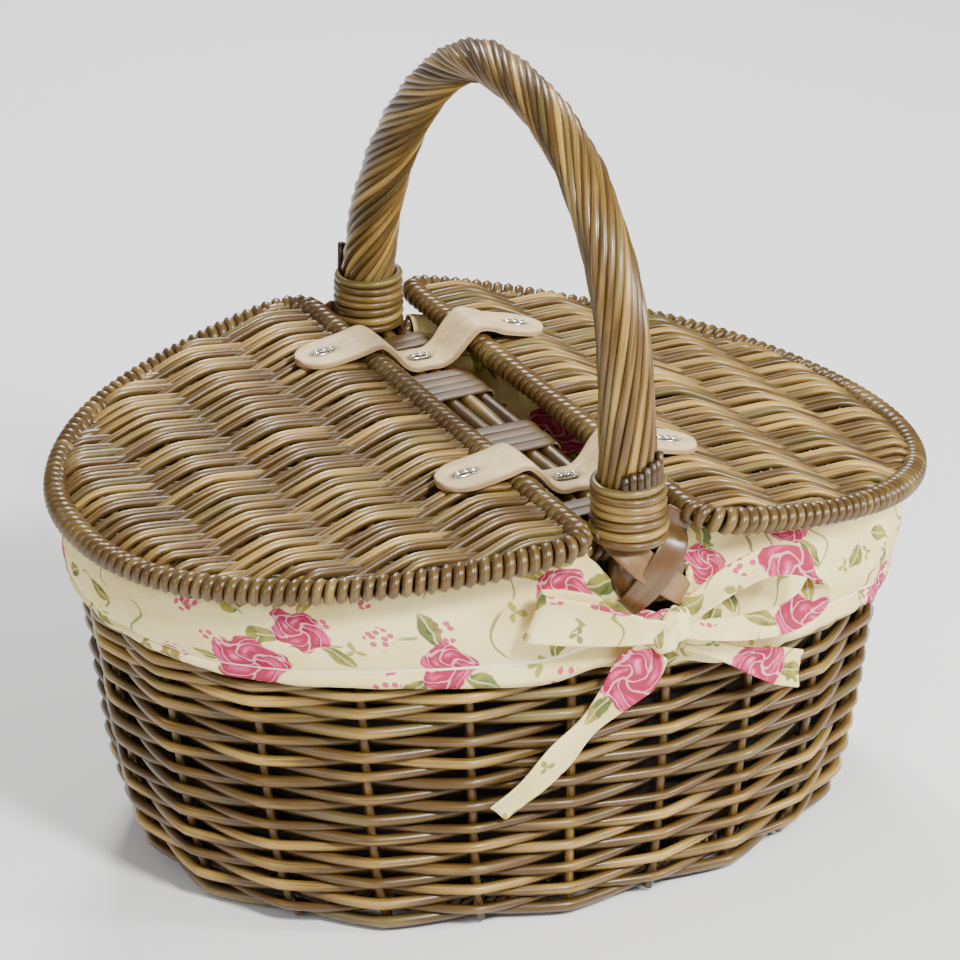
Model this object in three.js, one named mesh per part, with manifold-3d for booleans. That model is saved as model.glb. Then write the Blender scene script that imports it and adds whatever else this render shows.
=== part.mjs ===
// Oval picnic basket of woven willow: two D-shaped lids on leather strap hinges, a fixed hooped handle
// bound to the rim, and a printed cotton lining whose skirt folds over the rim and ties with a bow on
// each side. Millimetres, +Z up, origin on the ground under the middle of the basket. The handle hoop
// stands in the YZ plane, the lids open away from it along -X (left) and +X (right).
import * as THREE from "three";
import { mergeVertices } from "three/addons/utils/BufferGeometryUtils.js";
import Module from "manifold-3d";

const wasm = await Module();
wasm.setup();

// ---- Driving dimensions -------------------------------------------------------------------------

const CLEARANCE = 0.4; // between pieces that touch on the real basket
const OVAL_POWER = 2.16; // superellipse exponent shared by the base, the wall and the lids

// Woven body
const BODY_LENGTH = 372; // outside of the wall under the rim
const BODY_WIDTH = 260;
const END_FLARE = 36; // how far each end of the wall leans out between the ground and the rim
const SIDE_FLARE = 11; // and each side
const BELLY_POWER = 0.36; // how soon the wall swells above the base: lower is sooner
const WALL_THICKNESS = 10; // two layers of weavers round the stakes
const WALL_FOOT_HEIGHT = 2; // lowest row of the wall above the ground
const LEVEL_DEPTH = 70.25; // rows further than this below the rim are level, the others follow it
const RIM_LIP = 0.5; // the rim stands out this far past both faces of the wall
const FOOT_RADIUS = 5;
const FOOT_GAP = 1; // between the foot border and the inside of the wall
const BASE_THICKNESS = 6.5;

// Lids
const LID_OVERHANG_END = 9; // tip of a lid beyond the body's end
const LID_OVERHANG_SIDE = 23; // side of a lid beyond the body's side, where the two would meet
const LID_POST_GAP = 3.5; // between the straight inner edge of a lid and the post bindings
const LID_HEIGHT = 184.5; // border centre at the straight edge
const LEFT_SLOPE = THREE.MathUtils.degToRad(8); // each lid falls away from the handle
const RIGHT_SLOPE = THREE.MathUtils.degToRad(12);
const LID_BORDER_RADIUS = 5.75;
const LID_CORNER_RADIUS = 20;
const LID_WEAVE_THICKNESS = 9;
const LID_REST_GAP = 0.6; // between a closed lid and the cloth on the rim
const STICK_RADIUS = 2.5;
const STICK_FIRST = 30; // first lid stick from the straight edge
const STICK_LAST = 22.2; // last lid stick from the tip
const STICK_COUNT = 4;

// Handle
const HOOP_HEIGHT = 337; // centre of the hoop at its top
const HOOP_RADIUS = 12;
const HOOP_SLIM = 0.24; // share of its radius that the hoop loses at its top
const CORE_RADIUS = 7;
const POST_LEAN_IN = 2; // each post at the top of its binding, inside its foot over the wall's face
const HOOP_NEAR_POWER = 2.5; // the hoop is fuller on the -Y side than on the +Y side
const HOOP_FAR_POWER = 1.6;
const BINDING_HEIGHT = 22;
const BINDING_THICKNESS = 3.5; // of the rods wound round the foot of the hoop
const BINDING_FLARE = 0.8; // extra radius at the foot of a binding
const LASHING_RADIUS = 11; // of the skeins that tie a post to the rim
const LASHING_DEPTH = 9;

// Crossbar between the lids
const CROSSBAR_ROD_RADIUS = 3.6;
const CROSSBAR_ROD_COUNT = 4;
const CROSSBAR_ROD_GAP = 0.3;
const SKEIN_THICKNESS = 1;
const SKEIN_WIDTH = 14;
const SKEIN_FROM_END = 20.7; // outer skein bands from the ends of the crossbar rods
const INNER_SKEIN_WIDTH = 28; // of the two broad bands between the straps
const INNER_SKEIN_NEAR = 52; // broad band nearer the near post, from the near strap
const INNER_SKEIN_FAR = 29; // broad band nearer the far post, from the far strap

// Leather straps
const STRAP_END = 12.5; // round end of a strap beyond its outer stud
const STRAP_WIDTH = 27;
const STRAP_WAIST = 22; // width over the crossbar
const STRAP_THICKNESS = 3;
const STRAP_FROM_SKEIN = 25; // strap centres from the outer skein bands
const STRAP_BEND_GAP = 1.3; // where the strap bends, from the straight edge of the lid
const STRAP_BEND_START = 9.5; // where the strap leaves the crossbar, before its bend
const STRAP_BEND_RISE = 3; // of the strap halfway to its bend
const STRAP_BEND_SHARE = 0.68; // height of the bend between the crossbar and the lid's border
const STRAP_BORDER_RUN = 9; // from the top of the lid's border to where the strap lies on the weave
const STUD_FROM_EDGE = 26.7; // outer studs from the straight edge of a lid
const STUD_RADIUS = 1.2;
const STUD_LENGTH = 9.5;

// Lining
const CLOTH_GAP = 0.9; // between the cloth and the willow it lies on
const BAG_THICKNESS = 2;
const BAG_TUCK = 0.5; // top edge of the bag above the rows that carry the rim
const SKIRT_THICKNESS = 1.5;
const SKIRT_DEPTH = 58.25; // hem of the skirt at the posts, below the rim
const HEM_TILT = -0.075; // rise of the hem per millimetre of X

// Bows
const KNOT_X = 14; // knot centre to the right of the post, seen from outside
const KNOT_DEPTH = 35.25; // below the rim
const KNOT_GAP = 1.1; // between the knot and the skirt behind it
const KNOT_SIZE = [9, 6.5, 9.5]; // half sizes along X, Y and Z
const LOOP_THICKNESS = 7;
const LOOP_LEFT = { reach: -52, height: 24, lift: 0.34, rise: 5 }; // rise above the knot's centre
const LOOP_RIGHT = { reach: 60, height: 26, lift: 0.2, rise: 4 };
const TAIL_WIDTH = 13.5;
const TAIL_THICKNESS = 1.8;
const TAIL_LEFT = { run: -71, fall: 75, off: 4.3 }; // end from the knot, and off the wall's face
const TAIL_RIGHT = { run: 65, fall: 37, off: 11.6 };
const TAIL_LEFT_START = { in: 7, fall: 4 }; // left tail from under the knot
const SEAM_INSET = 2; // seam between the skirt halves beside the knot's centre
const OPENING_WIDEN = 2; // right edge of the skirt's opening beyond the lid's edge
const OPENING_BEND = 20; // height over the knot of the bend in the right edge

// Facets
const RING_STEPS = 40;
const CURVE_STEPS = 6; // facets along each eased corner
const TUBE_SIDES = 8;

// ---- Worked out from the driving dimensions -----------------------------------------------------

const BASE_LENGTH = BODY_LENGTH - 2 * END_FLARE; // outside of the wall where it leaves the ground
const BASE_WIDTH = BODY_WIDTH - 2 * SIDE_FLARE;
const RIM_RADIUS = WALL_THICKNESS / 2 + RIM_LIP;
const BINDING_RADIUS = HOOP_RADIUS + BINDING_THICKNESS;
const LID_INNER_X = BINDING_RADIUS + BINDING_FLARE + LID_POST_GAP;
const LID_LENGTH = BODY_LENGTH / 2 + LID_OVERHANG_END; // in plan, from the middle of the basket
const LID_WIDTH = BODY_WIDTH + 2 * LID_OVERHANG_SIDE;
const STICK_SPAN = LID_LENGTH - STICK_LAST - LID_INNER_X - STICK_FIRST;
const STICK_PITCH = STICK_SPAN / (STICK_COUNT - 1);
const RIM_HEIGHT =
  LID_HEIGHT - LID_BORDER_RADIUS - LID_REST_GAP - SKIRT_THICKNESS - CLOTH_GAP - RIM_RADIUS;
const RIM_INSET = WALL_THICKNESS / 2; // rim centre inside the wall's outer face
const RIGID_HEIGHT = RIM_HEIGHT - 2 * RIM_RADIUS; // rows above this fall as far as the rim does
const LEVEL_HEIGHT = RIM_HEIGHT - LEVEL_DEPTH;
const BAG_TOP = RIGID_HEIGHT + BAG_TUCK;
const HEM_HEIGHT = RIM_HEIGHT - SKIRT_DEPTH;
const KNOT_HEIGHT = RIM_HEIGHT - KNOT_DEPTH;
const FOOT_INSET = WALL_THICKNESS + FOOT_GAP + FOOT_RADIUS;
const POST_SPREAD_LOW = BODY_WIDTH; // between the two post centres at the rim
const POST_SPREAD_HIGH = BODY_WIDTH - 2 * POST_LEAN_IN; // and at the top of the bindings
const FOLD_RADIUS = RIM_RADIUS + CLOTH_GAP; // inside of the cloth folded over the rim
const POST_LEAN = Math.atan2((POST_SPREAD_LOW - POST_SPREAD_HIGH) / 2, BINDING_HEIGHT);
const LEANING_EDGE = (BINDING_RADIUS + BINDING_FLARE) * Math.sin(POST_LEAN); // dips under the foot
const BINDING_FOOT = RIM_HEIGHT + RIM_RADIUS + CLEARANCE + LEANING_EDGE;
const CROSSBAR_TOP = RIM_HEIGHT + RIM_RADIUS; // flush with the rim, so that it passes under the posts
const BINDING_TOP = BINDING_FOOT + BINDING_HEIGHT;
const CROSSBAR_REACH = BODY_WIDTH / 2 - RIM_INSET - RIM_RADIUS - 2 * CLEARANCE;
const CROSSBAR_ROD_PITCH = 2 * CROSSBAR_ROD_RADIUS + CROSSBAR_ROD_GAP;
const SKEIN_OFFSET = CROSSBAR_REACH - SKEIN_FROM_END;
const STRAP_Y = SKEIN_OFFSET - STRAP_FROM_SKEIN;
const HINGE_X = LID_INNER_X - STRAP_BEND_GAP;
const STUD_X = LID_INNER_X + STUD_FROM_EDGE; // outer studs from the middle stud
const STRAP_LENGTH = 2 * (STUD_X + STRAP_END);
const BASE_UNDERSIDE = 2 * FOOT_RADIUS + CLEARANCE;
const CLOTH_FLOOR = BASE_UNDERSIDE + BASE_THICKNESS + CLEARANCE;
const WALL_TOP = RIM_HEIGHT - RIM_RADIUS - CLEARANCE;
const SKIRT_OUT = FOLD_RADIUS + SKIRT_THICKNESS - RIM_INSET; // face of the skirt outside the wall's
const KNOT_Y = -(BODY_WIDTH / 2 + SKIRT_OUT + KNOT_GAP + KNOT_SIZE[1]);

// ---- Materials ----------------------------------------------------------------------------------

function finish(color, roughness, metalness = 0) {
  return new THREE.MeshStandardMaterial({ color, roughness, metalness });
}

const willow = () => finish(0x94785a, 0.5);
const darkWillow = () => finish(0x6b4c30, 0.4);
const leather = () => finish(0xc5b08c, 0.6);
const steel = () => finish(0xd0d2d4, 0.3, 1);
const cotton = () => finish(0xebe1c8, 0.9);

const basket = new THREE.Group();

function addPiece(parent, name, geometry, material) {
  const mesh = new THREE.Mesh(geometry, material);
  mesh.name = name;
  parent.add(mesh);
  return mesh;
}

// ---- Solids -------------------------------------------------------------------------------------

function toSolid(geometry) {
  const bare = geometry.index ? geometry.toNonIndexed() : geometry.clone();
  bare.deleteAttribute("normal");
  bare.deleteAttribute("uv");
  const merged = mergeVertices(bare, 1e-3);
  return new wasm.Manifold(
    new wasm.Mesh({
      numProp: 3,
      vertProperties: new Float32Array(merged.attributes.position.array),
      triVerts: new Uint32Array(merged.index.array),
    }),
  );
}

function toGeometry(solid) {
  const mesh = solid.getMesh();
  const geometry = new THREE.BufferGeometry();
  geometry.setAttribute("position", new THREE.BufferAttribute(mesh.vertProperties, 3));
  geometry.setIndex(new THREE.BufferAttribute(mesh.triVerts, 1));
  const flat = geometry.toNonIndexed();
  flat.computeVertexNormals();
  return flat;
}

// A plan outline extruded upwards from z = low to z = high.
function plate(shape, low, high) {
  const geometry = new THREE.ExtrudeGeometry(shape, {
    depth: high - low,
    bevelEnabled: false,
    curveSegments: CURVE_STEPS,
  });
  return geometry.translate(0, 0, low);
}

// A side outline, drawn as X and Z, extruded along Y between two values.
function wallPlate(shape, front, back) {
  const geometry = new THREE.ExtrudeGeometry(shape, {
    depth: back - front,
    bevelEnabled: false,
    curveSegments: CURVE_STEPS,
  });
  return geometry.rotateX(Math.PI / 2).translate(0, back, 0);
}

function boxBetween(low, high) {
  const size = high.map((value, axis) => value - low[axis]);
  const geometry = new THREE.BoxGeometry(...size);
  return geometry.translate(...low.map((value, axis) => value + size[axis] / 2));
}

// ---- Outline of the body ------------------------------------------------------------------------

function signedPower(value, power) {
  return Math.sign(value) * Math.abs(value) ** power;
}

function slopeAt(x) {
  return Math.tan(x < 0 ? LEFT_SLOPE : RIGHT_SLOPE);
}

// How far the lid and the rim under it have fallen at a distance x from the handle.
function lidDrop(x) {
  return slopeAt(x) * Math.max(Math.abs(x) - LID_INNER_X, 0);
}

function swell(height) {
  return THREE.MathUtils.clamp(height / RIM_HEIGHT, 0, 1) ** BELLY_POWER;
}

function halfLength(height) {
  return THREE.MathUtils.lerp(BASE_LENGTH, BODY_LENGTH, swell(height)) / 2;
}

function halfWidth(height) {
  return THREE.MathUtils.lerp(BASE_WIDTH, BODY_WIDTH, swell(height)) / 2;
}

// Share of the rim's fall that a row at this height takes.
function fallShare(height) {
  return THREE.MathUtils.clamp((height - LEVEL_HEIGHT) / (RIGID_HEIGHT - LEVEL_HEIGHT), 0, 1);
}

// A point at an angle round the body: out is measured from the wall's outer face at the height "at",
// and scale shrinks the outline towards the axis, for floors.
function bodyPoint(angle, { out = 0, z, at = z, scale = 1 }) {
  const cosine = signedPower(Math.cos(angle), 2 / OVAL_POWER);
  const sine = signedPower(Math.sin(angle), 2 / OVAL_POWER);
  const x = (halfLength(at) + out) * cosine * scale;
  const y = (halfWidth(at) + out) * sine * scale;
  return new THREE.Vector3(x, y, z - lidDrop(x) * fallShare(z));
}

// A closed profile carried round the body: a lathe whose rings are laid on the body's oval outline.
// rows(angle) gives the profile's points, from the bottom outwards and up.
function bodyShell(rows) {
  const count = rows(0).length;
  const profile = Array.from({ length: count }, (_, row) => new THREE.Vector2(1, row));
  const geometry = new THREE.LatheGeometry(profile, RING_STEPS);
  const position = geometry.attributes.position;
  for (let step = 0; step <= RING_STEPS; step++) {
    const angle = ((step % RING_STEPS) / RING_STEPS) * 2 * Math.PI;
    rows(angle).forEach((row, index) => {
      const point = bodyPoint(angle, row);
      position.setXYZ(step * count + index, point.x, point.y, point.z);
    });
  }
  geometry.computeVertexNormals();
  return geometry;
}

// Points of a round section, as offsets out and up from a centre, starting and ending at one point.
function roundSection(radius, sides, start = 0) {
  return Array.from({ length: sides + 1 }, (_, index) => {
    const angle = start + ((index % sides) / sides) * 2 * Math.PI;
    return { out: radius * Math.cos(angle), up: radius * Math.sin(angle) };
  });
}

// Heights at which the wall and the lining bend, shared so that their facets lie side by side.
function liningRows() {
  const belly = [0.25, 0.6].map((share) => THREE.MathUtils.lerp(CLOTH_FLOOR, LEVEL_HEIGHT, share));
  return [CLOTH_FLOOR, ...belly, LEVEL_HEIGHT, (LEVEL_HEIGHT + RIGID_HEIGHT) / 2, RIGID_HEIGHT];
}

// ---- Body ---------------------------------------------------------------------------------------

function buildBase() {
  const edge = -WALL_THICKNESS - CLEARANCE;
  const top = BASE_UNDERSIDE + BASE_THICKNESS;
  const panel = bodyShell(() => [
    { z: BASE_UNDERSIDE, scale: 0 },
    { out: edge, z: BASE_UNDERSIDE },
    { out: edge, z: top, at: BASE_UNDERSIDE },
    { z: top, scale: 0 },
  ]);
  addPiece(basket, "base_panel", panel, willow());
  const flatDown = Math.PI / TUBE_SIDES; // turns the section so that a facet lies on the ground
  const section = roundSection(FOOT_RADIUS / Math.cos(flatDown), TUBE_SIDES, flatDown);
  const foot = bodyShell(() =>
    section.map(({ out, up }) => ({ out: out - FOOT_INSET, z: FOOT_RADIUS + up, at: 0 })),
  );
  addPiece(basket, "foot_border", foot, willow());
}

function buildSideWeave() {
  const heights = [WALL_FOOT_HEIGHT, BASE_UNDERSIDE, ...liningRows(), WALL_TOP];
  const outer = heights.map((z) => ({ z }));
  const inner = heights.toReversed().map((z) => ({ out: -WALL_THICKNESS, z }));
  const weave = bodyShell(() => [...outer, ...inner, outer[0]]);
  addPiece(basket, "side_weave", weave, willow());
  const rim = roundSection(RIM_RADIUS, TUBE_SIDES).map(({ out, up }) => ({
    out: out - RIM_INSET,
    z: RIM_HEIGHT + up,
    at: RIM_HEIGHT,
  }));
  addPiece(basket, "rim_border", bodyShell(() => rim), willow());
}

// ---- Lining -------------------------------------------------------------------------------------

function buildBag() {
  const outside = -WALL_THICKNESS - CLOTH_GAP;
  const inside = outside - BAG_THICKNESS;
  const heights = [...liningRows(), BAG_TOP];
  const innerHeights = [CLOTH_FLOOR + BAG_THICKNESS, ...heights.slice(1)];
  const bag = bodyShell(() => [
    { z: CLOTH_FLOOR, scale: 0 },
    ...heights.map((z) => ({ out: outside, z })),
    ...innerHeights.toReversed().map((z) => ({ out: inside, z })),
    { z: CLOTH_FLOOR + BAG_THICKNESS, scale: 0 },
  ]);
  addPiece(basket, "lining_bag", bag, cotton());
}

// The row height that lands at a given height above the ground after the rim's fall is taken off.
function rowAtHeight(z, x) {
  const fallPerRow = lidDrop(x) / (RIGID_HEIGHT - LEVEL_HEIGHT);
  return z < LEVEL_HEIGHT ? z : (z - fallPerRow * LEVEL_HEIGHT) / (1 - fallPerRow);
}

// The whole skirt before it is split: over the rim like an upturned J, then down the wall to the hem.
function skirtRing() {
  const foldSteps = 4;
  const fallRows = 4;
  const inner = FOLD_RADIUS;
  const outer = FOLD_RADIUS + SKIRT_THICKNESS;
  const end = BAG_TOP + CLEARANCE;
  const fold = (radius, share) => ({
    out: radius * Math.cos(share * Math.PI) - RIM_INSET,
    z: RIM_HEIGHT + radius * Math.sin(share * Math.PI),
    at: RIM_HEIGHT,
  });
  return bodyShell((angle) => {
    const x = (BODY_LENGTH / 2) * signedPower(Math.cos(angle), 2 / OVAL_POWER);
    const hem = rowAtHeight(HEM_HEIGHT + HEM_TILT * x, x);
    const drape = (out, row) => ({
      out,
      z: THREE.MathUtils.lerp(hem, RIM_HEIGHT, row / fallRows),
    });
    const rows = Array.from({ length: fallRows }, (_, row) => row);
    const steps = Array.from({ length: foldSteps + 1 }, (_, step) => step);
    const start = drape(outer - RIM_INSET, 0);
    return [
      start,
      ...rows.slice(1).map((row) => drape(outer - RIM_INSET, row)),
      ...steps.map((step) => fold(outer, step / foldSteps)),
      { out: -outer - RIM_INSET, z: end, at: RIM_HEIGHT },
      { out: -inner - RIM_INSET, z: end, at: RIM_HEIGHT },
      ...steps.toReversed().map((step) => fold(inner, step / foldSteps)),
      ...rows.toReversed().map((row) => drape(inner - RIM_INSET, row)),
      start,
    ];
  });
}

// Half of the skirt, seen from the front: the two halves leave a U-shaped opening round the post and
// meet under the knot. side is -1 for the left half and 1 for the right one.
function skirtRegion(side) {
  const far = side * BODY_LENGTH;
  const seam = KNOT_X - SEAM_INSET + side * CLEARANCE;
  const top = RIM_HEIGHT + 4 * RIM_RADIUS;
  const edge = side < 0 ? LID_INNER_X : LID_INNER_X + OPENING_WIDEN;
  const bend = 2 * KNOT_X;
  const region = new THREE.Shape();
  region.moveTo(far, 0);
  region.lineTo(seam, 0);
  region.lineTo(seam, KNOT_HEIGHT);
  if (side < 0) region.lineTo(-edge, RIM_HEIGHT - RIM_RADIUS / 2);
  else region.quadraticCurveTo(bend, KNOT_HEIGHT, bend, KNOT_HEIGHT + OPENING_BEND);
  region.lineTo(side * edge, RIM_HEIGHT + RIM_RADIUS);
  region.lineTo(side * edge, top);
  region.lineTo(far, top);
  region.closePath();
  return region;
}

function buildSkirt() {
  const ring = toSolid(skirtRing());
  for (const [name, side] of [["left", -1], ["right", 1]]) {
    // The near face of each half is shaped by the region, the far face by the region turned half round.
    const near = wallPlate(skirtRegion(side), -BODY_WIDTH, 0);
    const far = wallPlate(skirtRegion(-side), -BODY_WIDTH, 0).rotateZ(Math.PI);
    const cutter = toSolid(near).add(toSolid(far));
    addPiece(basket, "lining_skirt_" + name, toGeometry(ring.intersect(cutter)), cotton());
  }
}

// ---- Bows ---------------------------------------------------------------------------------------

// A tear-shaped loop in the XZ plane with its point at the origin, lying along +X.
function loopShape(length, height) {
  const shape = new THREE.Shape();
  shape.moveTo(0, 0);
  shape.bezierCurveTo(length * 0.4, -height * 0.5, length, -height * 0.7, length, 0);
  shape.bezierCurveTo(length, height * 0.7, length * 0.4, height * 0.5, 0, 0);
  return shape;
}

function addLoop(bow, name, x, { reach, height, lift, rise }) {
  const loop = addPiece(
    bow,
    name,
    wallPlate(loopShape(Math.abs(reach), height), -LOOP_THICKNESS / 2, LOOP_THICKNESS / 2),
    cotton(),
  );
  loop.position.set(x, KNOT_Y, KNOT_HEIGHT + rise);
  loop.rotation.y = reach < 0 ? Math.PI + lift : -lift;
}

// Distance of the wall's face from the middle plane at a point of the near side.
function wallFace(x, z) {
  const share = Math.min(Math.abs(x) / halfLength(z), 1) ** OVAL_POWER;
  return halfWidth(z) * (1 - share) ** (1 / OVAL_POWER);
}

// Where a tail ends: a run along X and a fall from the knot, a little off the face of the wall.
function tailEnd({ run, fall, off }) {
  const x = KNOT_X + run;
  const z = KNOT_HEIGHT - fall;
  return [x, -(wallFace(x, z) + off), z];
}

// A flat tail between two points, its broad side facing out of the basket.
function addTail(bow, name, start, end) {
  const from = new THREE.Vector3(...start);
  const along = new THREE.Vector3(...end).sub(from);
  const length = along.length();
  const outward = new THREE.Vector3(0, -1, 0);
  const across = new THREE.Vector3().crossVectors(along, outward).normalize();
  const normal = new THREE.Vector3().crossVectors(across, along).normalize();
  const tail = addPiece(
    bow,
    name,
    new THREE.BoxGeometry(length, TAIL_THICKNESS, TAIL_WIDTH).translate(length / 2, 0, 0),
    cotton(),
  );
  const turn = new THREE.Matrix4().makeBasis(along.normalize(), normal, across);
  tail.quaternion.setFromRotationMatrix(turn);
  tail.position.copy(from);
}

function buildBow(side) {
  const bow = new THREE.Group();
  if (side === "far") bow.rotation.z = Math.PI;
  basket.add(bow);
  const knot = new THREE.SphereGeometry(1, 12, 8).scale(...KNOT_SIZE);
  const gap = CLEARANCE + KNOT_SIZE[0];
  addPiece(bow, side + "_bow_knot", knot, cotton()).position.set(KNOT_X, KNOT_Y, KNOT_HEIGHT);
  addLoop(bow, side + "_bow_loop_left", KNOT_X - gap, LOOP_LEFT);
  addLoop(bow, side + "_bow_loop_right", KNOT_X + gap, LOOP_RIGHT);
  const foot = KNOT_HEIGHT - KNOT_SIZE[2];
  const leftStart = [KNOT_X - TAIL_LEFT_START.in, KNOT_Y, foot - TAIL_LEFT_START.fall];
  addTail(bow, side + "_bow_tail_left", leftStart, tailEnd(TAIL_LEFT));
  addTail(bow, side + "_bow_tail_right", [KNOT_X + gap, KNOT_Y, foot], tailEnd(TAIL_RIGHT));
}

// ---- Handle -------------------------------------------------------------------------------------

// Centre line of the hoop, in the YZ plane, from the foot of the near post to the foot of the far one.
class HoopCurve extends THREE.Curve {
  getPoint(t, target = new THREE.Vector3()) {
    const legShare = 0.06;
    const side = t < 0.5 ? -1 : 1;
    const fromFoot = t < 0.5 ? t : 1 - t;
    const low = POST_SPREAD_LOW / 2;
    const high = POST_SPREAD_HIGH / 2;
    if (fromFoot < legShare) {
      const share = fromFoot / legShare;
      const y = side * THREE.MathUtils.lerp(low, high, share);
      return target.set(0, y, THREE.MathUtils.lerp(BINDING_FOOT, BINDING_TOP, share));
    }
    const angle = ((fromFoot - legShare) / (0.5 - legShare)) * (Math.PI / 2);
    const power = 2 / (side < 0 ? HOOP_NEAR_POWER : HOOP_FAR_POWER);
    const y = side * high * Math.cos(angle) ** power;
    const rise = (HOOP_HEIGHT - BINDING_TOP) * Math.sin(angle) ** power;
    return target.set(0, y, BINDING_TOP + rise);
  }
}

function circlePath(radius, sides, Kind = THREE.Shape) {
  const points = roundSection(radius, sides).slice(0, sides);
  return new Kind(points.map(({ out, up }) => new THREE.Vector2(out, up)));
}

// Draws a swept section in towards the top of the hoop.
function slimmed(geometry, curve) {
  const places = curve.getPoints(3000);
  const spot = new THREE.Vector3();
  const position = geometry.attributes.position;
  for (let index = 0; index < position.count; index++) {
    spot.fromBufferAttribute(position, index);
    let nearest = places[0];
    for (const place of places) {
      if (place.distanceToSquared(spot) < nearest.distanceToSquared(spot)) nearest = place;
    }
    const rise = (nearest.z - BINDING_TOP) / (HOOP_HEIGHT - BINDING_TOP);
    const share = 1 - HOOP_SLIM * THREE.MathUtils.clamp(rise, 0, 1) ** 1.3;
    spot.sub(nearest).multiplyScalar(share).add(nearest);
    position.setXYZ(index, spot.x, spot.y, spot.z);
  }
  return geometry;
}

function buildHandle() {
  const steps = 30;
  const curve = new HoopCurve();
  const sweep = (shape) =>
    slimmed(new THREE.ExtrudeGeometry(shape, { steps, extrudePath: curve, curveSegments: 1 }), curve);
  addPiece(basket, "handle_core", sweep(circlePath(CORE_RADIUS, TUBE_SIDES)), willow());
  const sleeve = circlePath(HOOP_RADIUS, 12);
  sleeve.holes.push(circlePath(CORE_RADIUS + CLEARANCE, TUBE_SIDES, THREE.Path));
  addPiece(basket, "handle_twisted_rods", sweep(sleeve), willow());
}

function buildPostBinding(side) {
  const name = side < 0 ? "near" : "far";
  const inner = HOOP_RADIUS + 2 * CLEARANCE;
  const foot = BINDING_RADIUS + BINDING_FLARE;
  const ring = new THREE.LatheGeometry(
    [
      new THREE.Vector2(inner, 0),
      new THREE.Vector2(foot, 0),
      new THREE.Vector2(BINDING_RADIUS, BINDING_HEIGHT / 2),
      new THREE.Vector2(BINDING_RADIUS, BINDING_HEIGHT),
      new THREE.Vector2(inner, BINDING_HEIGHT),
      new THREE.Vector2(inner, 0),
    ],
    16,
  ).rotateX(Math.PI / 2);
  const binding = addPiece(basket, name + "_post_binding", ring, willow());
  binding.rotation.x = side * POST_LEAN;
  binding.position.set(0, (side * POST_SPREAD_LOW) / 2, BINDING_FOOT);
  addPiece(basket, name + "_post_lashing", lashingDome(side), darkWillow());
}

// The crossed skeins that tie a post to the rim, as a dome standing on the outside of the wall.
function lashingDome(side) {
  const radius = LASHING_RADIUS;
  const depth = LASHING_DEPTH;
  const face = BODY_WIDTH / 2 + RIM_RADIUS - RIM_INSET + CLEARANCE;
  const dome = new THREE.LatheGeometry(
    [
      new THREE.Vector2(0, 0),
      new THREE.Vector2(radius, 0),
      new THREE.Vector2(radius * 0.85, depth * 0.5),
      new THREE.Vector2(radius * 0.5, depth * 0.87),
      new THREE.Vector2(0, depth),
    ],
    12,
  );
  dome.rotateX(side < 0 ? Math.PI : 0);
  return dome.translate(side * -KNOT_X * 0.5, side * face, RIM_HEIGHT - radius - CLEARANCE);
}

// ---- Crossbar -----------------------------------------------------------------------------------

function buildCrossbar() {
  const rodHeight = CROSSBAR_TOP - CROSSBAR_ROD_RADIUS;
  const middle = (CROSSBAR_ROD_COUNT - 1) / 2;
  for (let index = 0; index < CROSSBAR_ROD_COUNT; index++) {
    const rod = new THREE.CylinderGeometry(
      CROSSBAR_ROD_RADIUS,
      CROSSBAR_ROD_RADIUS,
      2 * CROSSBAR_REACH,
      TUBE_SIDES,
    );
    const piece = addPiece(basket, "crossbar_rod_" + (index + 1), rod, willow());
    piece.position.set((index - middle) * CROSSBAR_ROD_PITCH, 0, rodHeight);
  }
  const innerX = middle * CROSSBAR_ROD_PITCH + CROSSBAR_ROD_RADIUS + CLEARANCE;
  const innerZ = CROSSBAR_ROD_RADIUS + CLEARANCE;
  const bands = [
    ["near", -SKEIN_OFFSET, SKEIN_WIDTH],
    ["inner_near", INNER_SKEIN_NEAR - STRAP_Y, INNER_SKEIN_WIDTH],
    ["inner_far", STRAP_Y - INNER_SKEIN_FAR, INNER_SKEIN_WIDTH],
    ["far", SKEIN_OFFSET, SKEIN_WIDTH],
  ];
  for (const [name, y, width] of bands) {
    const band = rectangle(innerX + SKEIN_THICKNESS, innerZ + SKEIN_THICKNESS);
    band.holes.push(rectangle(innerX, innerZ, THREE.Path));
    const skein = wallPlate(band, y - width / 2, y + width / 2);
    addPiece(basket, "crossbar_skein_" + name, skein, darkWillow()).position.z = rodHeight;
  }
}

function rectangle(halfX, halfY, Kind = THREE.Shape) {
  return new Kind([
    new THREE.Vector2(-halfX, -halfY),
    new THREE.Vector2(halfX, -halfY),
    new THREE.Vector2(halfX, halfY),
    new THREE.Vector2(-halfX, halfY),
  ]);
}

// ---- Lids ---------------------------------------------------------------------------------------

// Length of a sloping lid from the middle of the basket, so that its tip stands at LID_LENGTH in plan.
function lidReach(slope) {
  return LID_INNER_X + (LID_LENGTH - LID_INNER_X) / Math.cos(slope);
}

function lidHalfWidth(x, inset, reach) {
  const share = Math.min(x / (reach - inset), 1) ** OVAL_POWER;
  return (LID_WIDTH / 2 - inset) * (1 - share) ** (1 / OVAL_POWER);
}

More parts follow.
